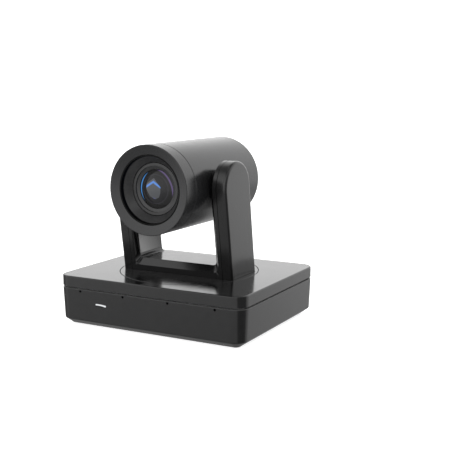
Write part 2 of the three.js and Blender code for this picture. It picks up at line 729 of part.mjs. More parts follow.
// An arm's outline pushed out from x = 0 to a distance, with its far edges bevelled or rounded.
function bevelledArm(distance, across, inwards, segments) {
  const geometry = new THREE.ExtrudeGeometry(armOutline(inwards), {
    depth: distance - across,
    bevelThickness: across,
    bevelSize: inwards,
    bevelSegments: segments,
    curveSegments: 10,
  });
  return placed(geometry, 'z', 'x', {});
}

// Everything below a height, as a solid to cut away.
function below(z) {
  return block([-FAR, FAR], [-FAR, FAR], [z - FAR, z]);
}

// Moves a solid drawn on the +X side to the other side.
function onSide(solid, side) {
  return side < 0 ? solid.mirror([1, 0, 0]) : solid;
}

// The inner half of an arm, bevelled all round its inner edge.
function innerArm(side) {
  const { inner, seam, bevelSide, bevelDepth, armWall } = YOKE;
  const bevelled = bevelledArm(seam, bevelSide, bevelDepth, 1).mirror([1, 0, 0]);
  const slab = bevelled.translate([inner + seam, 0, 0]);
  const beyond = block([seam, 3 * seam], [-FAR, FAR], [-FAR, FAR]);
  const hollow = prism(armOutline(armWall + 0.5), [inner + armWall, seam + 1],
    { axis: 'x', curve: 7 });
  return { slab: onSide(cut(slab, beyond), side), hollow: onSide(hollow, side) };
}

// U-shaped frame: a bar across the turntable and the inner half of each arm.
function yokeFrame() {
  const { inner, seam, corner, barTop, armWall, recess, barHollow } = YOKE;
  const bottom = -recess + GAP;
  const arms = [-1, 1].map(innerArm);
  const across = prism(armOutline(0), [-seam, seam], { axis: 'x', curve: 4 })
    .intersect(block([-seam, seam], [-FAR, FAR], [bottom, barTop + corner + 1]));
  const gap = prism(gapOutline(inner, barTop, corner), [-FAR, FAR], { axis: 'y' });
  const bar = cut(across, gap, gapMouth(-1), gapMouth(1));
  const frame = join(bar, ...arms.map(({ slab }) => slab));
  const hollowBar = block([-inner, inner], [-barHollow, barHollow], [-barTop, barTop - WALL]);
  const at = { axis: 'x', y: TILT.y, z: TILT.z, facets: MEDIUM };
  const bosses = [-1, 1].map((side) =>
    onSide(rod(AXLE.boss, [inner + 1, seam - AXLE.setBack], at), side));
  const bore = rod(AXLE.bearing + GAP, [-seam - 1, seam + 1], at);
  const sides = [-YOKE_SCREW.x, YOKE_SCREW.x];
  const posts = sides.map((x) => rod(YOKE_SCREW.post, [bottom, barTop - 1], { x }));
  const holes = sides.map((x) =>
    rod(YOKE_SCREW.shank + GAP, [2 * bottom, YOKE_SCREW.length + 1], { x }));
  const hollowed = cut(frame, hollowBar, ...arms.map(({ hollow }) => hollow));
  return cut(join(hollowed, ...bosses, ...posts), bore, below(bottom), ...holes);
}

// Outer shell of one arm, open towards the frame, with rounded outer edges.
function armCover(side) {
  const { outer, seam, edge, armWall, recess } = YOKE;
  const whole = bevelledArm(outer, edge, edge, 3);
  const inside = block([-FAR, seam + GAP], [-FAR, FAR], [-FAR, FAR]);
  const hollow = prism(armOutline(armWall + 0.5), [0, outer - armWall], { axis: 'x', curve: 7 });
  return onSide(cut(whole, inside, below(-recess + GAP), cut(hollow, below(armWall))), side);
}

function yokeScrew(side) {
  const x = side * YOKE_SCREW.x;
  const top = -TURNTABLE.thickness - GAP;
  const head = rod(YOKE_SCREW.head, [top - YOKE_SCREW.headHeight, top], { x });
  return join(head, rod(YOKE_SCREW.shank, [top - 1, YOKE_SCREW.length], { x }));
}

function tiltBearing(side) {
  const span = [YOKE.inner + GAP, YOKE.seam - AXLE.setBack];
  const at = { axis: 'x', facets: MEDIUM, y: TILT.y, z: TILT.z };
  return onSide(tube(AXLE.bearing, AXLE.radius + GAP, span, at), side);
}

function tiltMotor() {
  const { radius, start, end, shaft } = TILT_MOTOR;
  const at = { axis: 'x', facets: MEDIUM, y: TILT.y, z: tiltPinionZ };
  return cut(rod(radius, [start, end], at), rod(shaft + GAP, [end - 5, end + 1], at));
}

// Pinion and motor shaft in one piece, one tooth up towards the tilt axis.
function tiltPinion() {
  const { module, pinionTeeth, start, width } = TILT_DRIVE;
  const at = { axis: 'x', y: TILT.y, z: tiltPinionZ };
  const teeth = prism(gearOutline(pinionTeeth, module, Math.PI / 2), [start, start + width], at);
  return join(teeth, rod(TILT_MOTOR.shaft, [TILT_MOTOR.end - 4, start + 1], at));
}

// ---------------------------------------------------------------- head

function headBarrel() {
  const { radius, wall, rear } = HEAD;
  const { front, bevel, rearEdge } = BARREL;
  const inner = radius - wall;
  const shell = turned([
    [inner, front],
    [radius - bevel, front],
    [radius, front + bevel],
    [radius, rear - rearEdge],
    [radius - 0.3 * rearEdge, rear - 0.3 * rearEdge],
    [radius - rearEdge, rear],
    [inner, rear],
  ], { axis: 'y', facets: FINE });
  const at = { axis: 'x', facets: MEDIUM };
  const ear = rod(AXLE.ear, [AXLE.mouth + GAP, YOKE.inner - 2 * GAP], at);
  const bore = rod(AXLE.radius + GAP, [-YOKE.outer, YOKE.outer], at);
  return cut(join(shell, onSide(ear, -1), ear), bore);
}

// Front ring of the head: a face that slopes inwards round the lens.
function headBezel() {
  const { radius, front, seam, faceInner, faceDish, rim, bezelEdge } = HEAD;
  const back = seam - GAP / 2;
  return turned([
    [faceInner, front + faceDish],
    [radius - bezelEdge, front],
    [radius, front + bezelEdge],
    [radius, back - bezelEdge],
    [radius - bezelEdge, back],
    [radius - rim, back],
    [radius - rim, front + faceDish + rim],
    [faceInner, front + faceDish + rim],
  ], { axis: 'y', facets: FINE });
}

function headRearCap() {
  const radius = HEAD.radius - HEAD.wall - GAP;
  const end = HEAD.rear - BARREL.capRecess;
  return rod(radius, [end - BARREL.cap, end], { axis: 'y', facets: FINE });
}

// Black funnel between the front face and the lens, with a flange behind the front ring.
function lensHood() {
  const { front, faceInner, faceDish, funnelFront, funnelRear, funnelOuter, funnelInner, rim } = HEAD;
  const { lip, flange, throat } = HOOD;
  const lipY = front + faceDish + 0.1;
  const shoulder = front + faceDish + rim + GAP;
  const outer = faceInner - GAP;
  return turned([
    [outer, lipY],
    [outer, shoulder],
    [faceInner + rim, shoulder],
    [faceInner + rim, shoulder + flange],
    [faceInner, shoulder + flange],
    [funnelInner + throat, funnelRear + flange],
    [funnelInner, funnelRear + flange],
    [funnelInner, funnelRear],
    [funnelOuter, funnelFront],
    [outer - lip, lipY],
  ], { axis: 'y', facets: LENS_FACETS });
}

// Barrel of the front lens group, with stepped rings round the glass.
function lensBarrel() {
  const outer = HEAD.funnelInner - 0.4;
  const face = HEAD.funnelRear + 0.1;
  const { glass, glassEdge } = HEAD;
  const { y, thickness, radius } = LENS_FLANGE;
  const { lipInner, lipOuter, step, cell, cellDepth } = LENS_RINGS;
  const seat = glassEdge + cellDepth;
  return turned([
    [lipOuter, face],
    [outer, face],
    [outer, y],
    [radius, y],
    [radius, y + thickness],
    [cell, y + thickness],
    [cell, seat],
    [glass + GAP, seat],
    [glass + GAP, glassEdge - GAP],
    [lipInner, face + step],
    [lipOuter, face + step],
  ], { axis: 'y', facets: LENS_FACETS });
}

// A lens that bulges forwards, with its front edge at a distance along the axis.
function lensSolid(radius, { edge, bulge }, start) {
  const profile = [[0, start - bulge]];
  for (const share of [0.35, 0.65, 0.85]) {
    profile.push([radius * share, start - bulge * (1 - share * share)]);
  }
  profile.push([radius, start], [radius, start + edge], [0, start + edge]);
  return turned(profile, { axis: 'y', facets: MEDIUM });
}

function frontLens() {
  return lensSolid(HEAD.glass, FRONT_LENS, HEAD.glassEdge + GAP);
}

function innerLens({ lens, y }) {
  return lensSolid(lens, INNER_LENS, y - INNER_LENS.edge / 2);
}

// Two plates joined by side rails, which carry the whole zoom lens behind the front group.
function opticsFrame() {
  const { front, rear, plate, rearRadius, railX, rail, hole, sensorHole } = OPTICS;
  const at = { axis: 'y', facets: MEDIUM };
  const bulkheadRadius = HEAD.radius - HEAD.wall - GAP;
  const bulkhead = rod(bulkheadRadius, [front, front + plate], { axis: 'y', facets: FINE });
  const rearPlate = rod(rearRadius, [rear, rear + plate], at);
  const rails = [-railX, railX].map((x) =>
    block([x - rail / 2, x + rail / 2], [front + 1, rear + 1], [-2 * rail, 2 * rail]));
  const throughRear = [rear - 1, rear + plate + 1];
  const screwHoles = [-LEAD_SCREW.x, LEAD_SCREW.x].map((x) =>
    rod(LEAD_SCREW.radius + GAP, throughRear, { axis: 'y', x, z: LEAD_SCREW.z }));
  return cut(
    join(bulkhead, rearPlate, ...rails),
    rod(hole, [front - 1, front + plate + 1], at),
    rod(sensorHole, throughRear, at),
    ...screwHoles,
  );
}

function guideRod(side) {
  const span = [OPTICS.front + OPTICS.plate + GAP, OPTICS.rear - GAP];
  return rod(GUIDE_ROD, span, { axis: 'y', z: side * OPTICS.rodZ });
}

// Ring that holds a moving lens, with a bush on each guide rod and a nut on its lead screw.
function carriage(y, side) {
  const { ring, bore, thickness, arm, nut } = CARRIAGE;
  const span = [y - thickness / 2, y + thickness / 2];
  const through = [y - thickness, y + thickness];
  const { rodZ } = OPTICS;
  const { x, z, radius } = LEAD_SCREW;
  const round = { axis: 'y', facets: MEDIUM };
  const arms = block([-arm, arm], span, [-rodZ - arm, rodZ + arm]);
  const nutBlock = onSide(block([0, x + nut], span, [z - nut, z + nut]), side);
  const bushes = [-rodZ, rodZ].map((height) =>
    rod(GUIDE_ROD + GAP, through, { axis: 'y', z: height }));
  return cut(
    join(rod(ring, span, round), arms, nutBlock),
    rod(bore, through, round),
    rod(radius + GAP, through, { axis: 'y', x: side * x, z }),
    ...bushes,
  );
}

// Thin disc between the two carriages with a polygonal opening.
function irisDiaphragm() {
  const outline = circle(IRIS.radius);
  const points = Array.from({ length: IRIS.blades }, (_, blade) => {
    const angle = (blade * 2 * Math.PI) / IRIS.blades;
    return new THREE.Vector2(IRIS.opening * Math.cos(angle), IRIS.opening * Math.sin(angle));
  });
  outline.holes.push(new THREE.Path(points));
  return prism(outline, [IRIS.y, IRIS.y + IRIS.thickness], { axis: 'y', curve: 12 });
}

function leadScrew(side) {
  const span = [OPTICS.front + OPTICS.plate + GAP, OPTICS.rear + OPTICS.plate + 2];
  return rod(LEAD_SCREW.radius, span, { axis: 'y', x: side * LEAD_SCREW.x, z: LEAD_SCREW.z });
}

function lensMotor(side) {
  const start = OPTICS.rear + OPTICS.plate + GAP;
  const at = { axis: 'y', x: side * LEAD_SCREW.x, z: LEAD_SCREW.z };
  return cut(
    rod(LENS_MOTOR.radius, [start, start + LENS_MOTOR.length], { ...at, facets: MEDIUM }),
    rod(LEAD_SCREW.radius + GAP, [start - 1, start + 3], at),
  );
}

// Board behind the rear plate with the image sensor facing the lens.
function sensorBoard() {
  const start = OPTICS.rear + OPTICS.plate + GAP;
  const { half, bottom, top, thickness, chipX, chipZ, chip } = SENSOR;
  const board = block([-half, half], [start, start + thickness], [bottom, top]);
  return join(board, block([-chipX, chipX], [start - chip, start + GAP], [-chipZ, chipZ]));
}

// Axle from a flange inside the head out through the ear and into the arm.
function tiltAxle(side, reach) {
  const at = { axis: 'x', facets: MEDIUM };
  const flange = rod(AXLE.flange, [AXLE.inside, AXLE.mouth], at);
  return onSide(join(flange, rod(AXLE.radius, [AXLE.inside, reach], at)), side);
}

function tiltGear() {
  const { module, gearTeeth, start, width } = TILT_DRIVE;
  const gap = -Math.PI / 2 + Math.PI / gearTeeth;
  const outline = gearOutline(gearTeeth, module, gap);
  outline.holes.push(circle(AXLE.radius + GAP));
  return prism(outline, [start, start + width], { axis: 'x', curve: MEDIUM / 2 });
}

// ---------------------------------------------------------------- materials

function material(colour, roughness, metalness = 0) {
  return new THREE.MeshStandardMaterial({ color: colour, roughness, metalness });
}

const casing = () => material(0x2b2c2e, 0.45);
const glossCasing = () => material(0x303133, 0.2);
const headPaint = () => material(0x55575b, 0.3, 0.6);
const blackPlastic = () => material(0x0b0b0c, 0.25);
const nylon = () => material(0xd9d6cc, 0.5);
const steel = () => material(0xb4b6b8, 0.35, 1);
const brass = () => material(0xb38b45, 0.35, 1);
const rubber = () => material(0x141414, 0.9);
const circuitBoard = () => material(0x16452f, 0.6);
const glass = () => material(0x232a44, 0.05);
const lightPipe = () => material(0xf4f8ff, 0.3);

// ---------------------------------------------------------------- assembly

function addPart(group, name, solid, look) {
  const mesh = new THREE.Mesh(geometryFrom(solid), look);
  mesh.name = name;
  group.add(mesh);
}

function addBase(group) {
  addPart(group, 'base_housing', baseHousing(), casing());
  addPart(group, 'base_lid', baseLid(), glossCasing());
  corners(FEET.x, FEET.y).forEach((corner, i) =>
    addPart(group, `foot_${i + 1}`, rubberFoot(corner), rubber()));
  corners(SCREW.x, SCREW.y).forEach((corner, i) =>
    addPart(group, `lid_screw_${i + 1}`, lidScrew(corner), steel()));
  addPart(group, 'tripod_plate', tripodPlate(), steel());
  addPart(group, 'tripod_insert', tripodInsert(), brass());
  addPart(group, 'main_board', mainBoard(), circuitBoard());
  addPart(group, 'front_board', frontBoard(), circuitBoard());
  addPart(group, 'status_light', statusLight(), lightPipe());
  addPart(group, 'rear_panel', rearPanel(), steel());
  addPart(group, 'power_socket', powerSocket(), blackPlastic());
  addPart(group, 'lan_socket', lanSocket(), steel());
  addPart(group, 'usb_socket', usbSocket(), steel());
  addPart(group, 'hdmi_socket', hdmiSocket(), steel());
  addPart(group, 'serial_socket', serialSocket(), blackPlastic());
  addPart(group, 'pan_chassis', panChassis(), steel());
  addPart(group, 'pan_bearing', panBearing(), steel());
  addPart(group, 'pan_motor', panMotor(), steel());
  addPart(group, 'pan_pinion', panPinion(), brass());
}

function addYoke(group) {
  addPart(group, 'turntable', turntable(), glossCasing());
  addPart(group, 'pan_hub', panHub(), steel());
  addPart(group, 'pan_gear', panGear(), nylon());
  addPart(group, 'yoke_frame', yokeFrame(), casing());
  addPart(group, 'arm_cover_left', armCover(-1), casing());
  addPart(group, 'arm_cover_right', armCover(1), casing());
  addPart(group, 'yoke_screw_left', yokeScrew(-1), steel());
  addPart(group, 'yoke_screw_right', yokeScrew(1), steel());
  addPart(group, 'tilt_bearing_left', tiltBearing(-1), steel());
  addPart(group, 'tilt_bearing_right', tiltBearing(1), steel());
  addPart(group, 'tilt_motor', tiltMotor(), steel());
  addPart(group, 'tilt_pinion', tiltPinion(), brass());
}

function addHead(group) {
  addPart(group, 'head_barrel', headBarrel(), headPaint());
  addPart(group, 'head_bezel', headBezel(), headPaint());
  addPart(group, 'head_rear_cap', headRearCap(), headPaint());
  addPart(group, 'lens_hood', lensHood(), blackPlastic());
  addPart(group, 'lens_barrel', lensBarrel(), blackPlastic());
  addPart(group, 'front_lens', frontLens(), glass());
  addPart(group, 'optics_frame', opticsFrame(), blackPlastic());
  addPart(group, 'guide_rod_top', guideRod(1), steel());
  addPart(group, 'guide_rod_bottom', guideRod(-1), steel());
  addPart(group, 'zoom_carriage', carriage(ZOOM.y, 1), blackPlastic());
  addPart(group, 'zoom_lens', innerLens(ZOOM), glass());
  addPart(group, 'iris_diaphragm', irisDiaphragm(), steel());
  addPart(group, 'focus_carriage', carriage(FOCUS.y, -1), blackPlastic());
  addPart(group, 'focus_lens', innerLens(FOCUS), glass());
  addPart(group, 'zoom_lead_screw', leadScrew(1), steel());
  addPart(group, 'focus_lead_screw', leadScrew(-1), steel());
  addPart(group, 'zoom_motor', lensMotor(1), steel());
  addPart(group, 'focus_motor', lensMotor(-1), steel());
  addPart(group, 'sensor_board', sensorBoard(), circuitBoard());
  addPart(group, 'tilt_axle_left', tiltAxle(-1, YOKE.seam), steel());
  addPart(group, 'tilt_axle_right', tiltAxle(1, YOKE.outer - 3), steel());
  addPart(group, 'tilt_gear', tiltGear(), nylon());
}

const base = new THREE.Group();
base.position.z = FEET.reach;
const yoke = new THREE.Group();
yoke.position.z = BASE.top;
const head = new THREE.Group();
head.position.set(0, TILT.y, TILT.z);
base.add(yoke);
yoke.add(head);
addBase(base);
addYoke(yoke);
addHead(head);

const camera = new THREE.Group();
camera.add(base);

export default camera;
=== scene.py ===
"""The looks of a PTZ conference camera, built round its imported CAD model.

Lengths are millimetres in the row frame, and meshes are scaled to metres as they are made.
"""
import json
import math

import bmesh
import bpy
from mathutils import Matrix, Vector


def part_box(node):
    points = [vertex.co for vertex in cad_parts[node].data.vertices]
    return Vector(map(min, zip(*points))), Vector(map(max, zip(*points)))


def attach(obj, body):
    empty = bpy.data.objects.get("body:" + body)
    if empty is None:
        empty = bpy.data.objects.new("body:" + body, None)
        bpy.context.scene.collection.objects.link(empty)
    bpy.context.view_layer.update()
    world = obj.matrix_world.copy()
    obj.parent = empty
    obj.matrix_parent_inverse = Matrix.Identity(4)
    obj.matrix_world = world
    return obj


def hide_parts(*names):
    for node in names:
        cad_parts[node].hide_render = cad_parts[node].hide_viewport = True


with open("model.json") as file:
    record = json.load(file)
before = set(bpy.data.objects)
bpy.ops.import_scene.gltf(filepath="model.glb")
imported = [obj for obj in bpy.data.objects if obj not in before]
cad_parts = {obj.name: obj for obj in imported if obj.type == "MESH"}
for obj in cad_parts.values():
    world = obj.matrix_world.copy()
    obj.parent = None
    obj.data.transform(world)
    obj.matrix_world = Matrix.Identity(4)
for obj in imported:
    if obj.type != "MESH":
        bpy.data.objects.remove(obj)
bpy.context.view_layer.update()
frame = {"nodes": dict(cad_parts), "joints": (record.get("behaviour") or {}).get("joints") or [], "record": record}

MM = 0.001


def box(node):
    """Lowest and highest corner of a CAD node, in millimetres."""
    low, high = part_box(node)
    return low / MM, high / MM


def joint_place(name):
    """Where a joint's axis passes, in millimetres."""
    joint = next(j for j in frame["joints"] if j["name"] == name)
    return Vector(joint["pos_m"]) / MM


# ---------------------------------------------------------------- sizes

HOUSING = box("base_housing")
LID = box("base_lid")
DISC = box("turntable")
COVER = box("arm_cover_right")
FRAME = box("yoke_frame")
BARREL = box("head_barrel")
BEZEL = box("head_bezel")
HOOD = box("lens_hood")
LENS_BARREL = box("lens_barrel")
GLASS = box("front_lens")
CAP = box("head_rear_cap")
PANEL = box("rear_panel")
TILT = joint_place("tilt")

UNDERSIDE = HOUSING[0].z  # lower face of the casing
LID_TOP = LID[1].z
HALF_WIDTH, HALF_DEPTH = LID[1].x, LID[1].y
HEAD_RADIUS = (BEZEL[1].x - BEZEL[0].x) / 2

CASE = {
    "corner": 13.7,
    "bevel_top": 5.8,
    "bevel_inset": 9.0,
    "draft": 1.4,
    "rim": 37.2,
    "lid_edge": 39.2,
    "groove": 1.6,
    "wall": 4.4,
    "floor": 3.0,
}
LIGHT_GAP = 0.3
MIC = {"x": (-76.7, -25.6, 25.6, 76.7), "z": 35.7, "radius": 1.3}
SCREW = {"x": 84.0, "y": 25.0, "head": 2.8}
NOTCH = {"front": 77.8, "bottom": 8.8, "half": 64.0}  # open-topped, in the rear wall
SLOT = 0.8  # between the turntable and the lid
SEAT = {"inner": 58.0, "wall": 2.7}
FOOT_RECESS = {"radius": 7.3, "depth": 1.5}
TRIPOD_HOLE = {"radius": 5.8, "depth": 5}
YOKE = {
    "seam": 53.2,
    "inner": 44.9,
    "bar_top": 12.7,
    "edge": 3.0,
    "wall": 2.5,
    "bevel_side": 4.5,
    "bevel_bar": 6.9,
    "bevel_depth": 5.2,
    "arm_radius": 25.8,
    "foot_front": -25.7,
    "foot_rear": 25.8,
}
FACE = {"inner": 33.8, "dish": 2.9, "thickness": 4.0, "rim": 4.0}
GLASS_BULGE = 5.5
GLASS_RADIUS = (GLASS[1].x - GLASS[0].x) / 2
FUNNEL = {"front": 7.1, "rear": 13.4, "outer": 32.1, "inner": 25.8}
AXLE = {"ear": 14.0, "bore": 11.3}
HEAD = {"wall": 2.5, "ear_start": 36.2, "ear_gap": 0.6, "axle_hole": 6.3}
LENS_MOUNT = {"ring": 22.4, "throat": 22.0, "lip": 1.4, "flange": 3, "bore": 15, "seat": 7.4}

CIRCLE_STEPS = 192
HOLE_STEPS = 32
FILLET_STEP = math.radians(11)

# ---------------------------------------------------------------- outlines


def arc(centre, radius, start, end, steps):
    """Points on an arc, ends included, in radians."""
    turn = (end - start) / steps
    angles = [start + i * turn for i in range(steps + 1)]
    x, y = centre
    return [(x + radius * math.cos(angle), y + radius * math.sin(angle)) for angle in angles]


def circle(radius, steps=HOLE_STEPS, centre=(0.0, 0.0)):
    return arc(centre, radius, 0, 2 * math.pi, steps)[:-1]


def rounded(points, closed=True):
    """An outline from (x, y) points. A corner given as (x, y, radius) becomes an arc."""
    outline = []
    last = len(points) - 1
    for i, (x, y, *rest) in enumerate(points):
        if not rest or (not closed and i in (0, last)):
            outline.append((x, y))
            continue
        corner = Vector((x, y))
        back = (Vector(points[i - 1][:2]) - corner).normalized()
        ahead = (Vector(points[(i + 1) % len(points)][:2]) - corner).normalized()
        half = back.angle(ahead) / 2
        centre = corner + (back + ahead).normalized() * (rest[0] / math.sin(half))
        from_centre = [corner + way * (rest[0] / math.tan(half)) - centre for way in (back, ahead)]
        start, end = (math.atan2(v.y, v.x) for v in from_centre)
        turn = (end - start + math.pi) % (2 * math.pi) - math.pi
        steps = max(2, math.ceil(abs(turn) / FILLET_STEP))
        outline += arc(centre, rest[0], start, start + turn, steps)
    return outline


def dense(outline, step):
    """The same outline with points no further apart than a step."""
    points = []
    for start, end in zip(outline, [*outline[1:], outline[0]]):
        a, b = Vector(start), Vector(end)
        count = max(1, math.ceil((b - a).length / step))
        points += [tuple(a.lerp(b, i / count)) for i in range(count)]
    return points


def rectangle(half_x, half_y, radius, centre=(0.0, 0.0), steps=10):
    """A rounded rectangle, anticlockwise."""
    outline = []
    for quarter, (sx, sy) in enumerate(((1, 1), (-1, 1), (-1, -1), (1, -1))):
        middle = (centre[0] + sx * (half_x - radius), centre[1] + sy * (half_y - radius))
        start = quarter * math.pi / 2
        outline += arc(middle, radius, start, start + math.pi / 2, steps)
    return outline


def arm_touch(foot, radius, side):
    """Angle round the tilt axis where an arm's straight edge meets its round top."""
    drop = TILT.z - LID_TOP
    towards = math.atan2(-drop, foot - TILT.y)
    return towards + side * math.acos(radius / math.hypot(drop, foot - TILT.y))


def arm_edge(inset, side):
    """The straight edge of an arm: its angle of touch, the point of touch and its y at a height."""
    radius = YOKE["arm_radius"] - inset
    foot = YOKE["foot_rear"] - inset if side > 0 else YOKE["foot_front"] + inset
    angle = arm_touch(foot, radius, side)
    touch = (TILT.y + radius * math.cos(angle), TILT.z + radius * math.sin(angle))

    def at(z):
        return foot + (touch[0] - foot) * (z - LID_TOP) / (touch[1] - LID_TOP)

    return angle, touch, at


def arm_outline(inset, bottom):
    """Side view of an arm as (y, z): a tapering leg with a round top."""
    rear_angle, _, rear = arm_edge(inset, 1)
    front_angle, _, front = arm_edge(inset, -1)
    top = arc((TILT.y, TILT.z), YOKE["arm_radius"] - inset, rear_angle, front_angle + 2 * math.pi, 64)
    return [(front(bottom), bottom), (rear(bottom), bottom), *top]


def gap_outline(half, floor, radius):
    """Front view of the gap between the arms as (x, z): straight sides and a rounded floor."""
    top = TILT.z + YOKE["arm_radius"] + 10
    left = arc((radius - half, floor + radius), radius, math.pi, 1.5 * math.pi, 12)
    right = arc((half - radius, floor + radius), radius, 1.5 * math.pi, 2 * math.pi, 12)
    return [(-half, top), *left, *right, (half, top)]


# ---------------------------------------------------------------- meshes


def on_plane(outline, axis, along):
    """Outline points as 3-D points: (x, y) along z, (x, z) along y, (y, z) along x."""
    if axis == "z":
        return [Vector((a, b, along)) for a, b in outline]
    if axis == "y":
        return [Vector((a, along, b)) for a, b in outline]
    return [Vector((along, a, b)) for a, b in outline]


def loft(name, rings, ends="caps"):
    """A closed mesh through rings of points: its ends are caps or poles, or it wraps round."""
    mesh = bpy.data.meshes.new(name)
    bm = bmesh.new()
    made = [[bm.verts.new(point * MM) for point in ring] for ring in rings]
    pairs = list(zip(made, made[1:]))
    if ends == "wrap":
        pairs.append((made[-1], made[0]))
    for low, high in pairs:
        for i in range(len(low)):
            after = (i + 1) % len(low)
            bm.faces.new((low[i], low[after], high[after], high[i]))
    if ends == "caps":
        bm.faces.new(made[0])
        bm.faces.new(made[-1])
    if ends == "poles":
        bmesh.ops.remove_doubles(bm, verts=bm.verts, dist=1e-7)
    bmesh.ops.recalc_face_normals(bm, faces=bm.faces)
    bm.to_mesh(mesh)
    bm.free()
    obj = bpy.data.objects.new(name, mesh)
    bpy.context.scene.collection.objects.link(obj)
    return obj


def prism(outline, span, axis="z", name="cutter"):
    return loft(name, [on_plane(outline, axis, along) for along in span])


def rod(radius, span, axis="z", centre=(0.0, 0.0), steps=HOLE_STEPS, name="cutter"):
    return prism(circle(radius, steps, centre), span, axis, name)


def turned(name, profile, centre=(0.0, 0.0, 0.0), axis="y", steps=CIRCLE_STEPS, ends="wrap"):
    """A mesh turned about an axis. Its profile is (radius, distance along the axis) points."""
    where = Vector(centre)
    rings = []
    for radius, along in profile:
        ring = on_plane(circle(max(radius, 0.0), steps), axis, along)
        rings.append([point + where for point in ring])
    return loft(name, rings, ends)


def bake(obj):
    """Applies an object's modifiers."""
    depsgraph = bpy.context.evaluated_depsgraph_get()
    mesh = bpy.data.meshes.new_from_object(obj.evaluated_get(depsgraph))
    before = obj.data
    obj.modifiers.clear()
    obj.data = mesh
    bpy.data.meshes.remove(before)


def combine(target, operation, tools):
    for tool in tools:
        modifier = target.modifiers.new("combine", "BOOLEAN")
        modifier.operation = operation
        modifier.solver = "EXACT"
        modifier.object = tool
    bake(target)
    for tool in tools:
        bpy.data.objects.remove(tool)
    return target


def carve(target, *tools):
    return combine(target, "DIFFERENCE", tools)


def weld(target, *tools):
    return combine(target, "UNION", tools)


def mirrored(obj, name):
    """A copy on the other side of the middle."""
    copy = bpy.data.objects.new(name, obj.data.copy())
    copy.data.transform(Matrix.Scale(-1, 4, Vector((1, 0, 0))))
    copy.data.flip_normals()
    bpy.context.scene.collection.objects.link(copy)
    return copy


def soften(obj, width, segments=3, angle=35):
    """Rounds the sharp edges a little and keeps flat faces flat in shading."""
    obj.data.shade_smooth()
    if width:
        bevel = obj.modifiers.new("edges", "BEVEL")
        bevel.width = width * MM
        bevel.segments = segments
        bevel.limit_method = "ANGLE"
        bevel.angle_limit = math.radians(angle)
        bevel.use_clamp_overlap = True
    else:
        obj.data.set_sharp_from_angle(angle=math.radians(angle))
    normals = obj.modifiers.new("normals", "WEIGHTED_NORMAL")
    normals.keep_sharp = True
    return obj


def piece(obj, body, slot, material, *nodes, edge=0.0):
    """Finishes a new piece: its edges, material, body and the CAD nodes that it stands for."""
    soften(obj, edge)
    obj.data.materials.clear()
    obj.data.materials.append(material)
    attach(obj, body)
    if nodes:
        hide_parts(*nodes)
    return obj


# ---------------------------------------------------------------- materials


class Nodes:
    """Builds the nodes of a material or a world. Values are sockets or plain numbers."""

    def __init__(self, tree):
        self.nodes = tree.nodes
        self.links = tree.links
        self.place = None

    def join(self, value, socket):
        if isinstance(value, bpy.types.NodeSocket):
            self.links.new(value, socket)
        else:
            socket.default_value = value

    def noise(self, size, detail=2.0, stretch=None):
        """Noise with features of about a size in millimetres."""
        texture = self.nodes.new("ShaderNodeTexNoise")
        texture.inputs["Scale"].default_value = 1 / (size * MM)
        texture.inputs["Detail"].default_value = detail
        source = self.vector("MULTIPLY", self.place, stretch) if stretch else self.place
        self.links.new(source, texture.inputs["Vector"])
        return texture.outputs["Fac"]

    def spread(self, value, low, high, at=(0.3, 0.7), smooth=False):
        """Maps values from one range to the range low to high."""
        ranged = self.nodes.new("ShaderNodeMapRange")
        if smooth:
            ranged.interpolation_type = "SMOOTHSTEP"
        ranged.inputs["From Min"].default_value = at[0]
        ranged.inputs["From Max"].default_value = at[1]
        ranged.inputs["To Min"].default_value = low
        ranged.inputs["To Max"].default_value = high
        self.links.new(value, ranged.inputs["Value"])
        return ranged.outputs["Result"]

    def shades(self, value, *stops):
        """A colour ramp of (position, colour) stops."""
        ramp = self.nodes.new("ShaderNodeValToRGB")
        while len(ramp.color_ramp.elements) < len(stops):
            ramp.color_ramp.elements.new(1.0)
        for element, (position, colour) in zip(ramp.color_ramp.elements, stops):
            element.position = position
            element.color = (*colour, 1.0)
        self.links.new(value, ramp.inputs["Fac"])
        return ramp.outputs["Color"]

    def sum(self, operation, a, b):
        node = self.nodes.new("ShaderNodeMath")
        node.operation = operation
        self.join(a, node.inputs[0])
        self.join(b, node.inputs[1])
        return node.outputs["Value"]

    def vector(self, operation, a, b=(0.0, 0.0, 0.0)):
        node = self.nodes.new("ShaderNodeVectorMath")
        node.operation = operation
        self.join(a, node.inputs[0])
        self.join(b, node.inputs[1])
        number = operation in ("LENGTH", "DISTANCE", "DOT_PRODUCT")
        return node.outputs["Value" if number else "Vector"]

    def axis(self, source, name):
        parts = self.nodes.new("ShaderNodeSeparateXYZ")
        self.links.new(source, parts.inputs["Vector"])
        return parts.outputs[name]

    def mix(self, share, a, b):
        """Colour a where the share is 0 and b where it is 1."""
        node = self.nodes.new("ShaderNodeMix")
        node.data_type = "RGBA"
        self.join(share, node.inputs[0])
        for value, socket in ((a, node.inputs[6]), (b, node.inputs[7])):
            self.join(value if isinstance(value, bpy.types.NodeSocket) else (*value, 1.0), socket)
        return node.outputs[2]


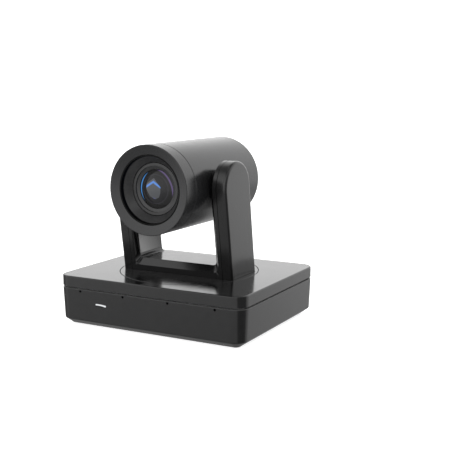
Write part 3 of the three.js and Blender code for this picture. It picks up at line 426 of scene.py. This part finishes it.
class Look(Nodes):
    """A node material that starts from a Principled shader."""

    def __init__(self, name):
        self.material = bpy.data.materials.new(name)
        self.material.use_nodes = True
        super().__init__(self.material.node_tree)
        self.shader = self.nodes["Principled BSDF"]
        self.place = self.nodes.new("ShaderNodeTexCoord").outputs["Object"]

    def set(self, **values):
        for name, value in values.items():
            socket = self.shader.inputs[name.replace("_", " ").title().replace("Ior", "IOR")]
            socket.default_value = value
        return self

    def feed(self, output, name):
        self.links.new(output, self.shader.inputs[name])
        return self

    def glow(self, colour, strength=1.0):
        self.shader.inputs["Emission Strength"].default_value = strength
        return self.feed(colour, "Emission Color")

    def bump(self, value, height, strength=1.0):
        """Relief of a height in millimetres."""
        bump = self.nodes.new("ShaderNodeBump")
        bump.inputs["Strength"].default_value = strength
        bump.inputs["Distance"].default_value = height * MM
        self.links.new(value, bump.inputs["Height"])
        self.links.new(bump.outputs["Normal"], self.shader.inputs["Normal"])
        return self


def moulded_plastic(name, colour, roughness, grain=0.35, relief=0.003, band=None, band_painted_light=None):
    """Plastic with a fine moulded grain and faint unevenness in its gloss.

    A band between two heights may be painted lighter: painted light that lifts the shade of a groove.
    """
    look = Look(name)
    lighter = tuple(1.25 * c for c in colour)
    darker = tuple(0.8 * c for c in colour)
    shade = look.shades(look.noise(9.0), (0.3, darker), (0.7, lighter))
    # Painted light: between the band's heights the colour is lighter, to lift the groove's shade.
    if band:
        height = look.axis(look.place, "Z")
        above = look.spread(height, 0.0, 1.0, (band[0] * MM, (band[0] + 0.2) * MM))
        below = look.spread(height, 1.0, 0.0, ((band[1] - 0.2) * MM, band[1] * MM))
        shade = look.mix(look.sum("MULTIPLY", above, below), shade, band_painted_light)
    look.feed(shade, "Base Color")
    look.feed(look.spread(look.noise(14.0, 3.0), roughness * 0.92, roughness * 1.1), "Roughness")
    look.bump(look.noise(grain, 3.0), relief)
    return look.material


def metallic_paint(name, colour, roughness):
    """Satin lacquer over fine metal flakes."""
    look = Look(name)
    look.set(metallic=0.15)
    flakes = look.noise(0.3, 1.0)
    darker, lighter = tuple(0.75 * c for c in colour), tuple(1.25 * c for c in colour)
    look.feed(look.shades(flakes, (0.3, darker), (0.7, lighter)), "Base Color")
    look.feed(look.spread(look.noise(12.0, 3.0), roughness * 0.93, roughness * 1.08), "Roughness")
    look.bump(look.noise(0.5, 2.0), 0.0008)
    return look.material


def metal(name, colour, roughness, stretch=(1.0, 1.0, 1.0), size=0.4):
    """Bare metal with fine tool marks."""
    look = Look(name)
    look.set(metallic=1.0)
    marks = look.noise(size, 4.0, stretch)
    look.feed(look.shades(marks, (0.3, tuple(0.85 * c for c in colour)), (0.7, colour)), "Base Color")
    look.feed(look.spread(marks, roughness * 0.8, roughness * 1.25), "Roughness")
    look.bump(marks, 0.01)
    return look.material


def socket_metal():
    """The plated shells of the sockets. Behind the rear panel's face they are painted near-black and not metallic:
    painted shade inside the sockets.
    """
    look = Look("socket_metal")
    marks = look.noise(0.5, 3.0)
    behind = look.axis(look.place, "Y")
    # Painted shade: 0 deep inside the sockets, where they are near-black, 1 at the panel's face.
    depth = look.spread(behind, 0.0, 1.0, ((PANEL[1].y - 1.6) * MM, (PANEL[1].y - 0.4) * MM))
    look.feed(look.shades(depth, (0.0, (0.006, 0.006, 0.006)), (1.0, (0.5, 0.51, 0.52))), "Base Color")
    look.feed(look.spread(depth, 0.0, 1.0, (0.0, 1.0)), "Metallic")
    look.feed(look.spread(marks, 0.28, 0.4), "Roughness")
    look.bump(marks, 0.004)
    return look.material


def solid_plastic(name, colour, roughness, size=0.6):
    look = Look(name)
    darker = tuple(0.9 * c for c in colour)
    look.feed(look.shades(look.noise(5.0), (0.3, darker), (0.7, colour)), "Base Color")
    look.feed(look.spread(look.noise(3.0), roughness * 0.9, roughness * 1.1), "Roughness")
    look.bump(look.noise(size, 3.0), 0.01)
    return look.material


def lens_black():
    """The matt black of the lens mount. The wall in front of the funnel is painted darker still and less glossy:
    painted shade in the recess.
    """
    look = Look("lens_black")
    start = BEZEL[0].y + FUNNEL["front"]
    # Painted shade: in front of the funnel's start the mount is near-black and barely glossy.
    depth = look.spread(look.axis(look.place, "Y"), 0.0, 1.0, ((start - 0.4) * MM, (start + 0.2) * MM))
    grain = look.shades(look.noise(6.0), (0.3, (0.0125, 0.0125, 0.013)), (0.7, (0.017, 0.017, 0.0175)))
    look.feed(look.mix(depth, (0.001, 0.001, 0.001), grain), "Base Color")
    look.feed(look.spread(depth, 0.12, 0.5, (0.0, 1.0)), "Specular IOR Level")
    look.feed(look.spread(look.noise(12.0), 0.34, 0.4), "Roughness")
    look.bump(look.noise(0.3, 3.0), 0.002)
    return look.material


def crescent(look, flat, towards, shift, reach, width):
    """A mask for a crescent: the part of a ring, off centre, that lies in a direction in degrees."""
    angle = math.radians(towards)
    middle = Vector((-shift * math.cos(angle), 0.0, TILT.z - shift * math.sin(angle))) * MM
    distance = look.vector("DISTANCE", flat, tuple(middle))
    inner = look.spread(distance, 0.0, 1.0, ((reach - 0.4) * MM, (reach + 0.4) * MM), smooth=True)
    end = reach + width
    outer = look.spread(distance, 1.0, 0.0, ((end - 0.4) * MM, (end + 0.4) * MM), smooth=True)
    return look.sum("MULTIPLY", inner, outer)


def coated_glass():
    """The front lens: black inside, polished, with painted glints near the rim: coloured reflections of its
    coating, painted in as a glow.
    """
    look = Look("lens_glass")
    look.set(ior=1.3)
    look.feed(look.spread(look.noise(8.0), 0.05, 0.08), "Roughness")
    flat = look.vector("MULTIPLY", look.place, (1.0, 0.0, 1.0))
    radius = look.vector("DISTANCE", flat, (0.0, 0.0, TILT.z * MM))
    rings = look.spread(radius, 0.0, 1.0, (0.0, GLASS_RADIUS * MM))
    look.feed(look.shades(rings, *GLASS_SHADES), "Base Color")
    black = (0.0, 0.0, 0.0)
    # The glints are painted reflections, made to glow.
    glints = look.mix(crescent(look, flat, *PAINTED_GLINT["blue"]), black, PAINTED_GLINT["blue_colour"])
    glints = look.mix(crescent(look, flat, *PAINTED_GLINT["violet"]), glints, PAINTED_GLINT["violet_colour"])
    edge = ((GLASS_RADIUS - 0.7) * MM, (GLASS_RADIUS - 0.3) * MM)
    rim = look.spread(radius, 0.0, 1.0, edge, smooth=True)
    look.glow(look.mix(rim, glints, black))
    return look.material


def painted_pupil_reflection():
    """The lens's entrance pupil, a painted reflection that glows: grey, bluish below, with a painted bright blue
    highlight across its top.
    """
    look = Look("lens_pupil")
    look.set(base_color=(0.01, 0.01, 0.012, 1.0), ior=1.36)
    look.feed(look.spread(look.noise(8.0), 0.05, 0.08), "Roughness")
    sideways = look.sum("SUBTRACT", look.axis(look.place, "X"), PUPIL_REFLECTION["ridge_x"] * MM)
    slope = look.sum("MULTIPLY", look.sum("ABSOLUTE", sideways, 0.0), PUPIL_REFLECTION["ridge_slope"])
    height = look.sum("ADD", look.sum("SUBTRACT", look.axis(look.place, "Z"), TILT.z * MM), slope)
    reach = PUPIL_REFLECTION["reach"]
    share = look.spread(height, 0.0, 1.0, (-reach * MM, reach * MM))
    look.glow(look.shades(share, *PUPIL_REFLECTION["shades"]))
    return look.material


def painted_status_highlight():
    """A light pipe with a painted highlight that glows along its upper edge and round its right end."""
    low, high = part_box("status_light")
    middle = (low + high) / 2 + Vector(HIGHLIGHT_STROKE["shift"]) * MM
    look = Look("status_light")
    look.set(base_color=(0.02, 0.02, 0.021, 1.0), roughness=0.3)
    offset = look.vector("SUBTRACT", look.place, tuple(middle))
    scale = (1 / (HIGHLIGHT_STROKE["half_length"] * MM), 0.0, 1 / (HIGHLIGHT_STROKE["half_height"] * MM))
    distance = look.vector("LENGTH", look.vector("MULTIPLY", offset, scale))
    inside = look.spread(distance, 0.0, 1.0, HIGHLIGHT_STROKE["inner"], smooth=True)
    outside = look.spread(distance, 1.0, 0.0, HIGHLIGHT_STROKE["outer"], smooth=True)
    share = look.sum("MULTIPLY", inside, outside)
    # Painted highlight: the stroke glows, the rest of the pipe barely.
    look.glow(look.mix(share, HIGHLIGHT_STROKE["beside_highlight"], HIGHLIGHT_STROKE["highlight"]))
    return look.material


# Shades of the glass from its middle to its rim.
GLASS_SHADES = (
    (0.0, (0.020, 0.020, 0.022)),
    (0.70, (0.016, 0.016, 0.017)),
    (0.74, (0.030, 0.029, 0.034)),
    (0.78, (0.018, 0.018, 0.018)),
)
# Painted glints: coloured reflections of the coating, made to glow. Each is a direction in degrees, how far its
# ring is shifted the other way, and the ring's inner radius and width.
PAINTED_GLINT = {
    "blue": (171, 8.0, 24.5, 3.0),
    "blue_colour": (0.05, 0.22, 0.55),
    "violet": (34, 6.0, 22.4, 1.3),
    "violet_colour": (0.085, 0.055, 0.15),
}
# The painted highlight is a stroke between two ellipses about a point off the pipe's middle.
HIGHLIGHT_STROKE = {
    "shift": (-2.8, 0.0, -2.3),
    "half_length": 8.6,
    "half_height": 1.9,
    "inner": (0.95, 1.15),
    "outer": (1.6, 1.85),
    "beside_highlight": (0.012, 0.012, 0.013),
    "highlight": (0.80, 0.82, 0.84),
}
# The pupil is a painted reflection, glowing on a thin sheet over the glass: its outline of rounded corners, and
# the shades of its glow with a painted blue highlight across its top.
PUPIL_REFLECTION = {
    "outline": (
        (-0.9, 10.8, 1.2), (-9.3, 5.0, 1.5), (-9.6, 0.3, 2.5), (-5.3, -6.8, 2.5), (0.2, -9.8, 2.0),
        (4.8, -7.6, 2.0), (6.6, -3.5, 2.0), (6.9, 2.2, 1.2),
    ),
    "reach": 11,  # the shades run from this far below the middle to as far above it
    "ridge_x": -1.1,
    "ridge_slope": 0.6,
    "shades": (
        (0.05, (0.06, 0.07, 0.17)), (0.2, (0.062, 0.066, 0.07)), (0.75, (0.062, 0.066, 0.07)),
        (0.80, (0.08, 0.24, 0.68)), (0.84, (0.08, 0.24, 0.68)), (0.9, (0.065, 0.068, 0.075)),
    ),
}
CASING = (0.0035, 0.0035, 0.0037)
LID_BLACK = (0.003, 0.003, 0.0032)
GROOVE = (UNDERSIDE + CASE["rim"], UNDERSIDE + CASE["lid_edge"])
# The groove between lid and casing is painted lighter than the casing: painted light over its shade.
GROOVE_PAINTED_LIGHT = (0.085, 0.085, 0.085)
LOOKS = {
    "casing": moulded_plastic("casing", CASING, 0.2, band=GROOVE, band_painted_light=GROOVE_PAINTED_LIGHT),
    "lid": moulded_plastic("lid", LID_BLACK, 0.16, 0.6, 0.001, band=GROOVE, band_painted_light=GROOVE_PAINTED_LIGHT),
    "head_paint": metallic_paint("head_paint", (0.012, 0.0122, 0.0128), 0.22),
    "lens_black": lens_black(),
    "black_plastic": moulded_plastic("black_plastic", (0.003, 0.003, 0.003), 0.25),
    "steel": metal("steel", (0.62, 0.63, 0.64), 0.32, (1.0, 12.0, 1.0)),
    "brass": metal("brass", (0.72, 0.53, 0.25), 0.28),
    "nylon": solid_plastic("nylon", (0.80, 0.78, 0.71), 0.45),
    "rubber": solid_plastic("rubber", (0.014, 0.014, 0.014), 0.75, 0.3),
    "circuit_board": solid_plastic("circuit_board", (0.015, 0.10, 0.05), 0.4),
    "glass": coated_glass(),
    "pupil": painted_pupil_reflection(),
    "light": painted_status_highlight(),
    "socket_metal": socket_metal(),
    "board_painted_shade": solid_plastic("board_painted_shade", (0.006, 0.006, 0.007), 0.5),
}
# CAD nodes whose look is not that of their material slot. The front board is painted near-black, as shade seen
# through the holes in the casing's front, and the sockets are painted dark inside, as shade.
OWN_LOOKS = {
    "front_board": "board_painted_shade",
    "lan_socket": "socket_metal",
    "usb_socket": "socket_metal",
    "hdmi_socket": "socket_metal",
}

# ---------------------------------------------------------------- base


def case_ring(inset, height):
    """The base's outline, set in by a distance, at a height above its underside."""
    radius = max(CASE["corner"] - inset, 2.0)
    outline = rectangle(HALF_WIDTH - inset, HALF_DEPTH - inset, radius, steps=14)
    return on_plane(outline, "z", UNDERSIDE + height)


def corners(x, y):
    return [(-x, -y), (x, -y), (-x, y), (x, y)]


def pill(length, height, centre, steps=12):
    return rectangle(length / 2, height / 2, height / 2 - 0.01, centre, steps)


def base_housing():
    rim = HOUSING[1].z - UNDERSIDE
    profile = rounded([
        (CASE["bevel_inset"] + 5, 0),
        (CASE["bevel_inset"], 0, 1.0),
        (CASE["draft"], CASE["bevel_top"], 2.0),
        (0, CASE["rim"], 0.35),
        (CASE["groove"], rim),
    ], closed=False)
    inside = [(CASE["wall"], rim), (CASE["wall"], 8.8), (CASE["bevel_inset"] + 3, CASE["floor"])]
    shell = loft("base_housing_shell", [case_ring(inset, height) for inset, height in profile + inside])
    front = (-HALF_DEPTH - 1, -HALF_DEPTH + CASE["wall"] + 1)
    low, high = box("status_light")
    pipe = ((low.x + high.x) / 2, (low.z + high.z) / 2)
    cutters = [prism(pill(high.x - low.x + LIGHT_GAP, high.z - low.z + LIGHT_GAP, pipe), front, "y")]
    for x in MIC["x"]:
        cutters.append(rod(MIC["radius"], front, "y", (x, UNDERSIDE + MIC["z"]), 20))
    side, bottom = NOTCH["half"], UNDERSIDE + NOTCH["bottom"]
    notch = [(-side, bottom), (side, bottom), (side, LID_TOP), (-side, LID_TOP)]
    cutters.append(prism(notch, (NOTCH["front"], HALF_DEPTH + 2), "y"))
    for i, (x, y) in enumerate(corners(SCREW["x"], SCREW["y"])):
        foot_low, foot_high = box(f"foot_{i + 1}")
        middle = ((foot_low.x + foot_high.x) / 2, (foot_low.y + foot_high.y) / 2)
        recess = (UNDERSIDE - 1, UNDERSIDE + FOOT_RECESS["depth"])
        cutters.append(rod(FOOT_RECESS["radius"], recess, centre=middle, steps=64))
        through = (UNDERSIDE - 1, UNDERSIDE + CASE["floor"] + 1)
        cutters.append(rod(SCREW["head"] + 0.3, through, centre=(x, y)))
    plate_high = box("tripod_plate")[1]
    recess = rectangle(plate_high.x + 0.3, plate_high.y + 0.3, 4)
    cutters.append(prism(recess, (UNDERSIDE - 1, plate_high.z + 0.3)))
    hole = (UNDERSIDE - 1, UNDERSIDE + TRIPOD_HOLE["depth"])
    cutters.append(rod(TRIPOD_HOLE["radius"], hole, steps=64))
    carve(shell, *cutters)
    piece(shell, "base", "casing", LOOKS["casing"], "base_housing", edge=0.15)


def base_lid():
    start = LID[0].z - UNDERSIDE
    top = LID_TOP - UNDERSIDE
    outside = rounded([
        (CASE["wall"], start),
        (CASE["groove"], start),
        (0, CASE["lid_edge"], 0.35),
        (0, top, 1.1),
        (CASE["wall"] + 2, top),
    ], closed=False)
    inside = [(CASE["wall"], top - 3)]
    shell = loft("base_lid_shell", [case_ring(inset, height) for inset, height in inside + outside])
    slot = DISC[1].x + SLOT
    seat_top = DISC[0].z - 0.3
    seat = turned("seat", [
        (SEAT["inner"], seat_top - SEAT["wall"]),
        (slot + 3, seat_top - SEAT["wall"]),
        (slot + 3, LID_TOP - 1),
        (SEAT["inner"], LID_TOP - 1),
    ], axis="z")
    weld(shell, seat)
    well = rod(slot, (seat_top, LID_TOP + 1), steps=CIRCLE_STEPS)
    middle = rod(SEAT["inner"], (seat_top - 5, LID_TOP), steps=CIRCLE_STEPS)
    carve(shell, well, middle)
    piece(shell, "base", "lid", LOOKS["lid"], "base_lid", edge=0.15)


def feet():
    for i in range(4):
        low, high = box(f"foot_{i + 1}")
        centre = ((low.x + high.x) / 2, (low.y + high.y) / 2, 0)
        radius = (high.x - low.x) / 2
        profile = rounded([
            (0, high.z),
            (radius - 0.4, high.z),
            (radius - 0.4, 1.4, 0.2),
            (radius, 1.4, 0.2),
            (radius, low.z, 0.7),
            (radius - 3.2, low.z, 0.3),
            (radius - 3.2, low.z + 0.5, 0.3),
            (0, low.z + 0.5),
        ], closed=False)
        foot = turned(f"rubber_foot_{i + 1}", profile, centre, "z", 64, "poles")
        piece(foot, "base", "rubber", LOOKS["rubber"], f"foot_{i + 1}")


def lid_screws():
    for i in range(4):
        node = f"lid_screw_{i + 1}"
        low, high = box(node)
        x, y = (low.x + high.x) / 2, (low.y + high.y) / 2
        profile = rounded([
            (0, low.z),
            (SCREW["head"], low.z, 0.5),
            (SCREW["head"], low.z + 2.4, 0.2),
            (1.5, low.z + 2.4),
            (1.5, high.z, 0.3),
            (0, high.z),
        ], closed=False)
        screw = turned(f"case_screw_{i + 1}", profile, (x, y, 0), "z", 40, "poles")
        slots = [
            prism(rectangle(half_x, half_y, 0.2, (x, y), 3), (low.z - 1, low.z + 1.3))
            for half_x, half_y in ((1.7, 0.35), (0.35, 1.7))
        ]
        carve(screw, *slots)
        piece(screw, "base", "steel", LOOKS["steel"], node, edge=0.06)


def status_light():
    low, high = box("status_light")
    centre = ((low.x + high.x) / 2, (low.z + high.z) / 2)
    length, height = high.x - low.x, high.z - low.z
    profile = [(0.0, high.y), (0.0, low.y + 0.7), (0.12, low.y + 0.35), (0.4, low.y + 0.1), (0.8, low.y)]
    rings = []
    for inset, y in profile:
        half = height / 2 - inset
        rings.append(on_plane(rectangle(length / 2 - inset, half, half - 0.02, centre, 12), "y", y))
    pipe = loft("light_pipe", rings)
    piece(pipe, "base", "light", LOOKS["light"], "status_light")


# ---------------------------------------------------------------- yoke


def turntable():
    bottom, top = DISC[0].z, LID_TOP
    radius = DISC[1].x
    profile = rounded([
        (8.0, bottom), (radius, bottom, 0.3), (radius, top, 0.35), (8.0, top),
    ], closed=False)
    disc = turned("turntable_disc", profile, axis="z")
    foot = rectangle(
        COVER[1].x + 0.3, (YOKE["foot_rear"] - YOKE["foot_front"]) / 2 + 0.3, 3.0,
        (0, (YOKE["foot_rear"] + YOKE["foot_front"]) / 2),
    )
    carve(disc, prism(foot, (FRAME[0].z - 0.3, top + 1)))
    piece(disc, "yoke", "lid", LOOKS["lid"], "turntable", edge=0.12)


def bevelled_arm(profile, bottom, name):
    """An arm through (inset, x) points, with its underside kept flat."""
    return loft(name, [on_plane(arm_outline(inset, bottom), "x", x) for inset, x in profile])


def mouth(side):
    """The bevel that opens out the front (side -1) or rear of the gap, as a solid to cut away."""
    inner, bar_top = YOKE["inner"], YOKE["bar_top"] + LID_TOP
    steps = (
        (inner + 2 * YOKE["bevel_side"], bar_top - 2 * YOKE["bevel_bar"], 10, -YOKE["bevel_depth"]),
        (inner + YOKE["bevel_side"], bar_top - YOKE["bevel_bar"], 7, 0),
        (inner, bar_top, 4, YOKE["bevel_depth"]),
    )
    edge = arm_edge(0, side)[2]
    rings = [
        [Vector((x, edge(z) - side * depth, z)) for x, z in gap_outline(half, floor, radius)]
        for half, floor, radius, depth in steps
    ]
    return loft("mouth", rings)


def yoke_frame():
    inner, seam, wall = YOKE["inner"], YOKE["seam"], YOKE["wall"]
    bottom = FRAME[0].z
    bar_top = LID_TOP + YOKE["bar_top"]
    front, rear = arm_edge(0, -1)[2], arm_edge(0, 1)[2]
    top = bar_top + 5
    section = [(front(bottom), bottom), (rear(bottom), bottom), (rear(top), top), (front(top), top)]
    bar = prism(section, (-seam + 0.2, seam - 0.2), "x", "yoke_frame_shell")
    carve(bar, prism(gap_outline(inner, bar_top, 4), (-80, 80), "y"), mouth(-1), mouth(1))
    profile = [(0, seam), (0, inner + YOKE["bevel_side"]), (YOKE["bevel_depth"], inner)]
    slab = bevelled_arm(profile, bottom, "slab")
    weld(bar, mirrored(slab, "other_slab"), slab)
    hollow = bevelled_arm([(wall + 0.5, inner + wall), (wall + 0.5, seam + 1)], bottom - 1, "hollow")
    below = prism(rectangle(inner, 19, 2, steps=4), (bottom - 1, bar_top - 3))
    bore = rod(AXLE["bore"], (-seam - 1, seam + 1), "x", (TILT.y, TILT.z), 64)
    carve(bar, mirrored(hollow, "other_hollow"), hollow, below, bore)
    piece(bar, "yoke", "casing", LOOKS["casing"], "yoke_frame", edge=0.3)


def arm_covers():
    outer, seam, wall, edge = COVER[1].x, COVER[0].x, YOKE["wall"], YOKE["edge"]
    bottom = COVER[0].z
    outside = rounded([
        (wall + 0.5, seam), (0, seam, 0.35), (0, outer, edge), (edge + 6, outer),
    ], closed=False)
    rings = [on_plane(arm_outline(inset, bottom), "x", x) for inset, x in outside]
    hollow = [on_plane(arm_outline(wall + 0.5, LID_TOP + wall), "x", x) for x in (outer - wall, seam)]
    cover = loft("arm_cover_right_shell", hollow + rings)
    left = mirrored(cover, "arm_cover_left_shell")
    piece(cover, "yoke", "casing", LOOKS["casing"], "arm_cover_right")
    piece(left, "yoke", "casing", LOOKS["casing"], "arm_cover_left")


# ---------------------------------------------------------------- head


def head_barrel():
    start, end = BARREL[0].y, BARREL[1].y
    inner = HEAD_RADIUS - HEAD["wall"]
    shell = turned("head_barrel_shell", rounded([
        (inner, start, 0.2), (HEAD_RADIUS, start, 0.9), (HEAD_RADIUS, end, 1.4), (inner, end, 0.3),
    ]), (0, 0, TILT.z))
    ears = []
    for side in (-1, 1):
        span = (side * HEAD["ear_start"], side * (YOKE["inner"] - HEAD["ear_gap"]))
        ears.append(rod(AXLE["ear"], span, "x", (TILT.y, TILT.z), 96))
    weld(shell, *ears)
    carve(shell, rod(HEAD["axle_hole"], (-60, 60), "x", (TILT.y, TILT.z), 48))
    piece(shell, "head", "head_paint", LOOKS["head_paint"], "head_barrel", edge=0.25)


def head_bezel():
    front, back = BEZEL[0].y, BEZEL[1].y
    face = front + FACE["dish"]
    rim = HEAD_RADIUS - FACE["rim"]
    ring = turned("head_bezel_ring", rounded([
        (FACE["inner"], face, 0.35),
        (HEAD_RADIUS, front, 0.7),
        (HEAD_RADIUS, back, 0.2),
        (rim, back, 0.2),
        (rim, face + FACE["thickness"], 0.3),
        (FACE["inner"], face + FACE["thickness"], 0.3),
    ]), (0, 0, TILT.z))
    piece(ring, "head", "head_paint", LOOKS["head_paint"], "head_bezel")


def head_rear_cap():
    front, back = CAP[0].y, CAP[1].y
    radius = (CAP[1].x - CAP[0].x) / 2
    cap = turned("head_rear_cap_disc", rounded([
        (0, front),
        (radius, front, 0.2),
        (radius, back, 0.5),
        (radius - 5, back, 0.4),
        (radius - 6.2, back - 0.6, 0.4),
        (0, back - 0.6),
    ], closed=False), (0, 0, TILT.z), ends="poles")
    piece(cap, "head", "head_paint", LOOKS["head_paint"], "head_rear_cap")


def lens_hood():
    front = BEZEL[0].y
    lip = HOOD[0].y
    outer = FACE["inner"] - 0.3
    shoulder = front + FACE["dish"] + FACE["thickness"] + 0.3
    throat = front + FUNNEL["rear"]
    hood = turned("lens_hood_funnel", rounded([
        (outer, lip, 0.2),
        (outer, shoulder),
        (FACE["inner"] + 4, shoulder),
        (FACE["inner"] + 4, shoulder + 2),
        (FACE["inner"], shoulder + 2),
        (FUNNEL["inner"] + 1.8, throat + 2),
        (FUNNEL["inner"], throat + 2),
        (FUNNEL["inner"], throat, 0.25),
        (FUNNEL["outer"], front + FUNNEL["front"], 0.4),
        (outer - 0.9, lip, 0.2),
    ]), (0, 0, TILT.z))
    piece(hood, "head", "black_plastic", LOOKS["lens_black"], "lens_hood")


def lens_barrel():
    face, back = LENS_BARREL[0].y, LENS_BARREL[1].y
    outer = FUNNEL["inner"] - 0.4
    flange = (LENS_BARREL[1].x - LENS_BARREL[0].x) / 2
    ring, throat, bore = LENS_MOUNT["ring"], LENS_MOUNT["throat"], LENS_MOUNT["bore"]
    lip = face + LENS_MOUNT["lip"]
    shoulder = back - LENS_MOUNT["flange"]
    seat = GLASS[1].y - LENS_MOUNT["seat"]
    barrel = turned("lens_barrel_rings", rounded([
        (ring, face, 0.25),
        (outer, face, 0.4),
        (outer, shoulder),
        (flange, shoulder, 0.3),
        (flange, back, 0.3),
        (bore, back, 0.3),
        (bore, seat + 8),
        (GLASS_RADIUS + 0.3, seat + 8),
        (GLASS_RADIUS + 0.3, seat - 0.3, 0.2),
        (throat, lip, 0.2),
        (ring, lip, 0.1),
    ]), (0, 0, TILT.z))
    piece(barrel, "head", "black_plastic", LOOKS["lens_black"], "lens_barrel")


def dome(radius, front):
    """How far along the lens axis a surface parallel to the front glass lies at a radius."""
    return front + GLASS_BULGE * (radius / GLASS_RADIUS) ** 2


def front_lens():
    """The domed front lens, and a thin sheet on it that carries the pupil as a painted reflection."""
    low, high = GLASS[0].y, GLASS[1].y
    centre = (0, 0, TILT.z)
    steps = 24
    radii = [GLASS_RADIUS * i / steps for i in range(steps + 1)]
    face = [(radius, dome(radius, low + 0.06)) for radius in radii]
    profile = [*face, (GLASS_RADIUS, high), (0, high)]
    lens = turned("front_lens_glass", profile, centre, steps=128, ends="poles")
    piece(lens, "head", "glass", LOOKS["glass"], "front_lens")
    outline = dense(rounded(PUPIL_REFLECTION["outline"]), 0.6)
    rings = []
    shares = [i / 12 for i in range(13)]
    for share, lift in [(i, 0.0) for i in shares] + [(i, 0.3) for i in reversed(shares)]:
        points = [(x * share, z * share) for x, z in outline]
        rings.append([Vector((x, dome(math.hypot(x, z), low + lift), TILT.z + z)) for x, z in points])
    pupil = loft("front_lens_pupil", rings, ends="poles")
    piece(pupil, "head", "glass", LOOKS["pupil"], "front_lens")


# ---------------------------------------------------------------- stage


FLOOR_SIZE = 30.0  # metres


def stage():
    """A pale floor. It glows a little, and reflections don't show it."""
    half = FLOOR_SIZE / 2
    mesh = bpy.data.meshes.new("floor")
    corner_points = [(-half, -half, 0), (half, -half, 0), (half, half, 0), (-half, half, 0)]
    mesh.from_pydata(corner_points, [], [(0, 1, 2, 3)])
    floor = bpy.data.objects.new("floor", mesh)
    bpy.context.scene.collection.objects.link(floor)
    look = Look("floor")
    look.set(roughness=0.9)
    mottle = look.shades(look.noise(400.0), (0.0, (0.92, 0.92, 0.92)), (1.0, (0.94, 0.94, 0.94)))
    look.feed(mottle, "Base Color")
    look.glow(look.shades(look.noise(400.0), (0.0, (1.0, 1.0, 1.0)), (1.0, (1.0, 1.0, 1.0))), 0.8)
    look.shader.inputs["Specular IOR Level"].default_value = 0.0
    mesh.materials.append(look.material)
    floor.visible_glossy = False


# The studio's brightness by the sine of the elevation, and the dark screens beside the object,
# each a direction and the cosines between which it fades in.
ROOM = (
    (-1.0, 0.4), (-0.67, 0.4), (-0.47, 0.58), (-0.29, 0.85), (-0.20, 1.1), (-0.12, 1.4),
    (0.0, 1.5), (0.35, 1.75), (0.60, 1.5), (0.78, 1.2), (0.87, 0.3), (0.95, 0.5), (1.0, 1.0),
)
ROOM_SCALE = 2.0
SCREENS = (((0.978, -0.208, 0.0), (0.70, 0.80)), ((-0.985, 0.174, 0.0), (0.80, 0.92)))
SCREEN_SHADE = 0.3


def lights():
    """A soft studio: bright walls, a dark ceiling, a dimmer floor and a dark screen on each side."""
    world = bpy.data.worlds.new("studio")
    world.use_nodes = True
    room = Nodes(world.node_tree)
    way = room.nodes.new("ShaderNodeTexCoord").outputs["Generated"]
    stops = [((z + 1) / 2, (level / ROOM_SCALE,) * 3) for z, level in ROOM]
    level = room.shades(room.spread(room.axis(way, "Z"), 0.0, 1.0, (-1.0, 1.0)), *stops)
    for towards, edge in SCREENS:
        share = room.spread(room.vector("DOT_PRODUCT", way, towards), 0.0, 1.0, edge, smooth=True)
        shade = room.mix(share, (1.0, 1.0, 1.0), (SCREEN_SHADE,) * 3)
        level = room.vector("MULTIPLY", level, shade)
    seen = room.nodes.new("ShaderNodeLightPath").outputs["Is Camera Ray"]
    background = room.nodes["Background"]
    room.links.new(room.mix(seen, level, (1.0, 1.0, 1.0)), background.inputs["Color"])
    background.inputs["Strength"].default_value = ROOM_SCALE
    bpy.context.scene.world = world


CAMERA = {
    "azimuth": math.radians(28.498),
    "elevation": math.radians(9.081),
    "distance": 895.1,
    "across": 36.8,
    "up": 12.6,
    "height": 84.0,
    "lens": 69.53,
}


def camera():
    a, e = CAMERA["azimuth"], CAMERA["elevation"]
    back = Vector((math.sin(a) * math.cos(e), -math.cos(a) * math.cos(e), math.sin(e)))
    right = Vector((math.cos(a), math.sin(a), 0))
    up = back.cross(right)
    aim = Vector((0, 0, UNDERSIDE + CAMERA["height"])) + right * CAMERA["across"] + up * CAMERA["up"]
    data = bpy.data.cameras.new("camera")
    data.lens = CAMERA["lens"]
    data.sensor_width = 36.0
    data.clip_start, data.clip_end = 0.01, 100.0
    viewer = bpy.data.objects.new("camera", data)
    viewer.location = (aim + back * CAMERA["distance"]) * MM
    viewer.rotation_mode = "QUATERNION"
    viewer.rotation_quaternion = (-back).to_track_quat("-Z", "Y")
    bpy.context.scene.collection.objects.link(viewer)
    bpy.context.scene.camera = viewer


# ---------------------------------------------------------------- making


def finish_cad_nodes():
    """Gives every CAD node the look of its material slot, or the look that OWN_LOOKS gives it, which for some
    carries painted shade.
    """
    for part in frame["record"]["subparts"]:
        node = frame["nodes"][part["node"]]
        node.data.materials.clear()
        node.data.materials.append(LOOKS[OWN_LOOKS.get(part["node"], part["material_slot"])])


camera()
stage()
lights()
finish_cad_nodes()
base_housing()
base_lid()
feet()
lid_screws()
status_light()
turntable()
yoke_frame()
arm_covers()
head_barrel()
head_bezel()
head_rear_cap()
lens_hood()
lens_barrel()
front_lens()
bpy.context.scene.view_settings.view_transform = "Standard"
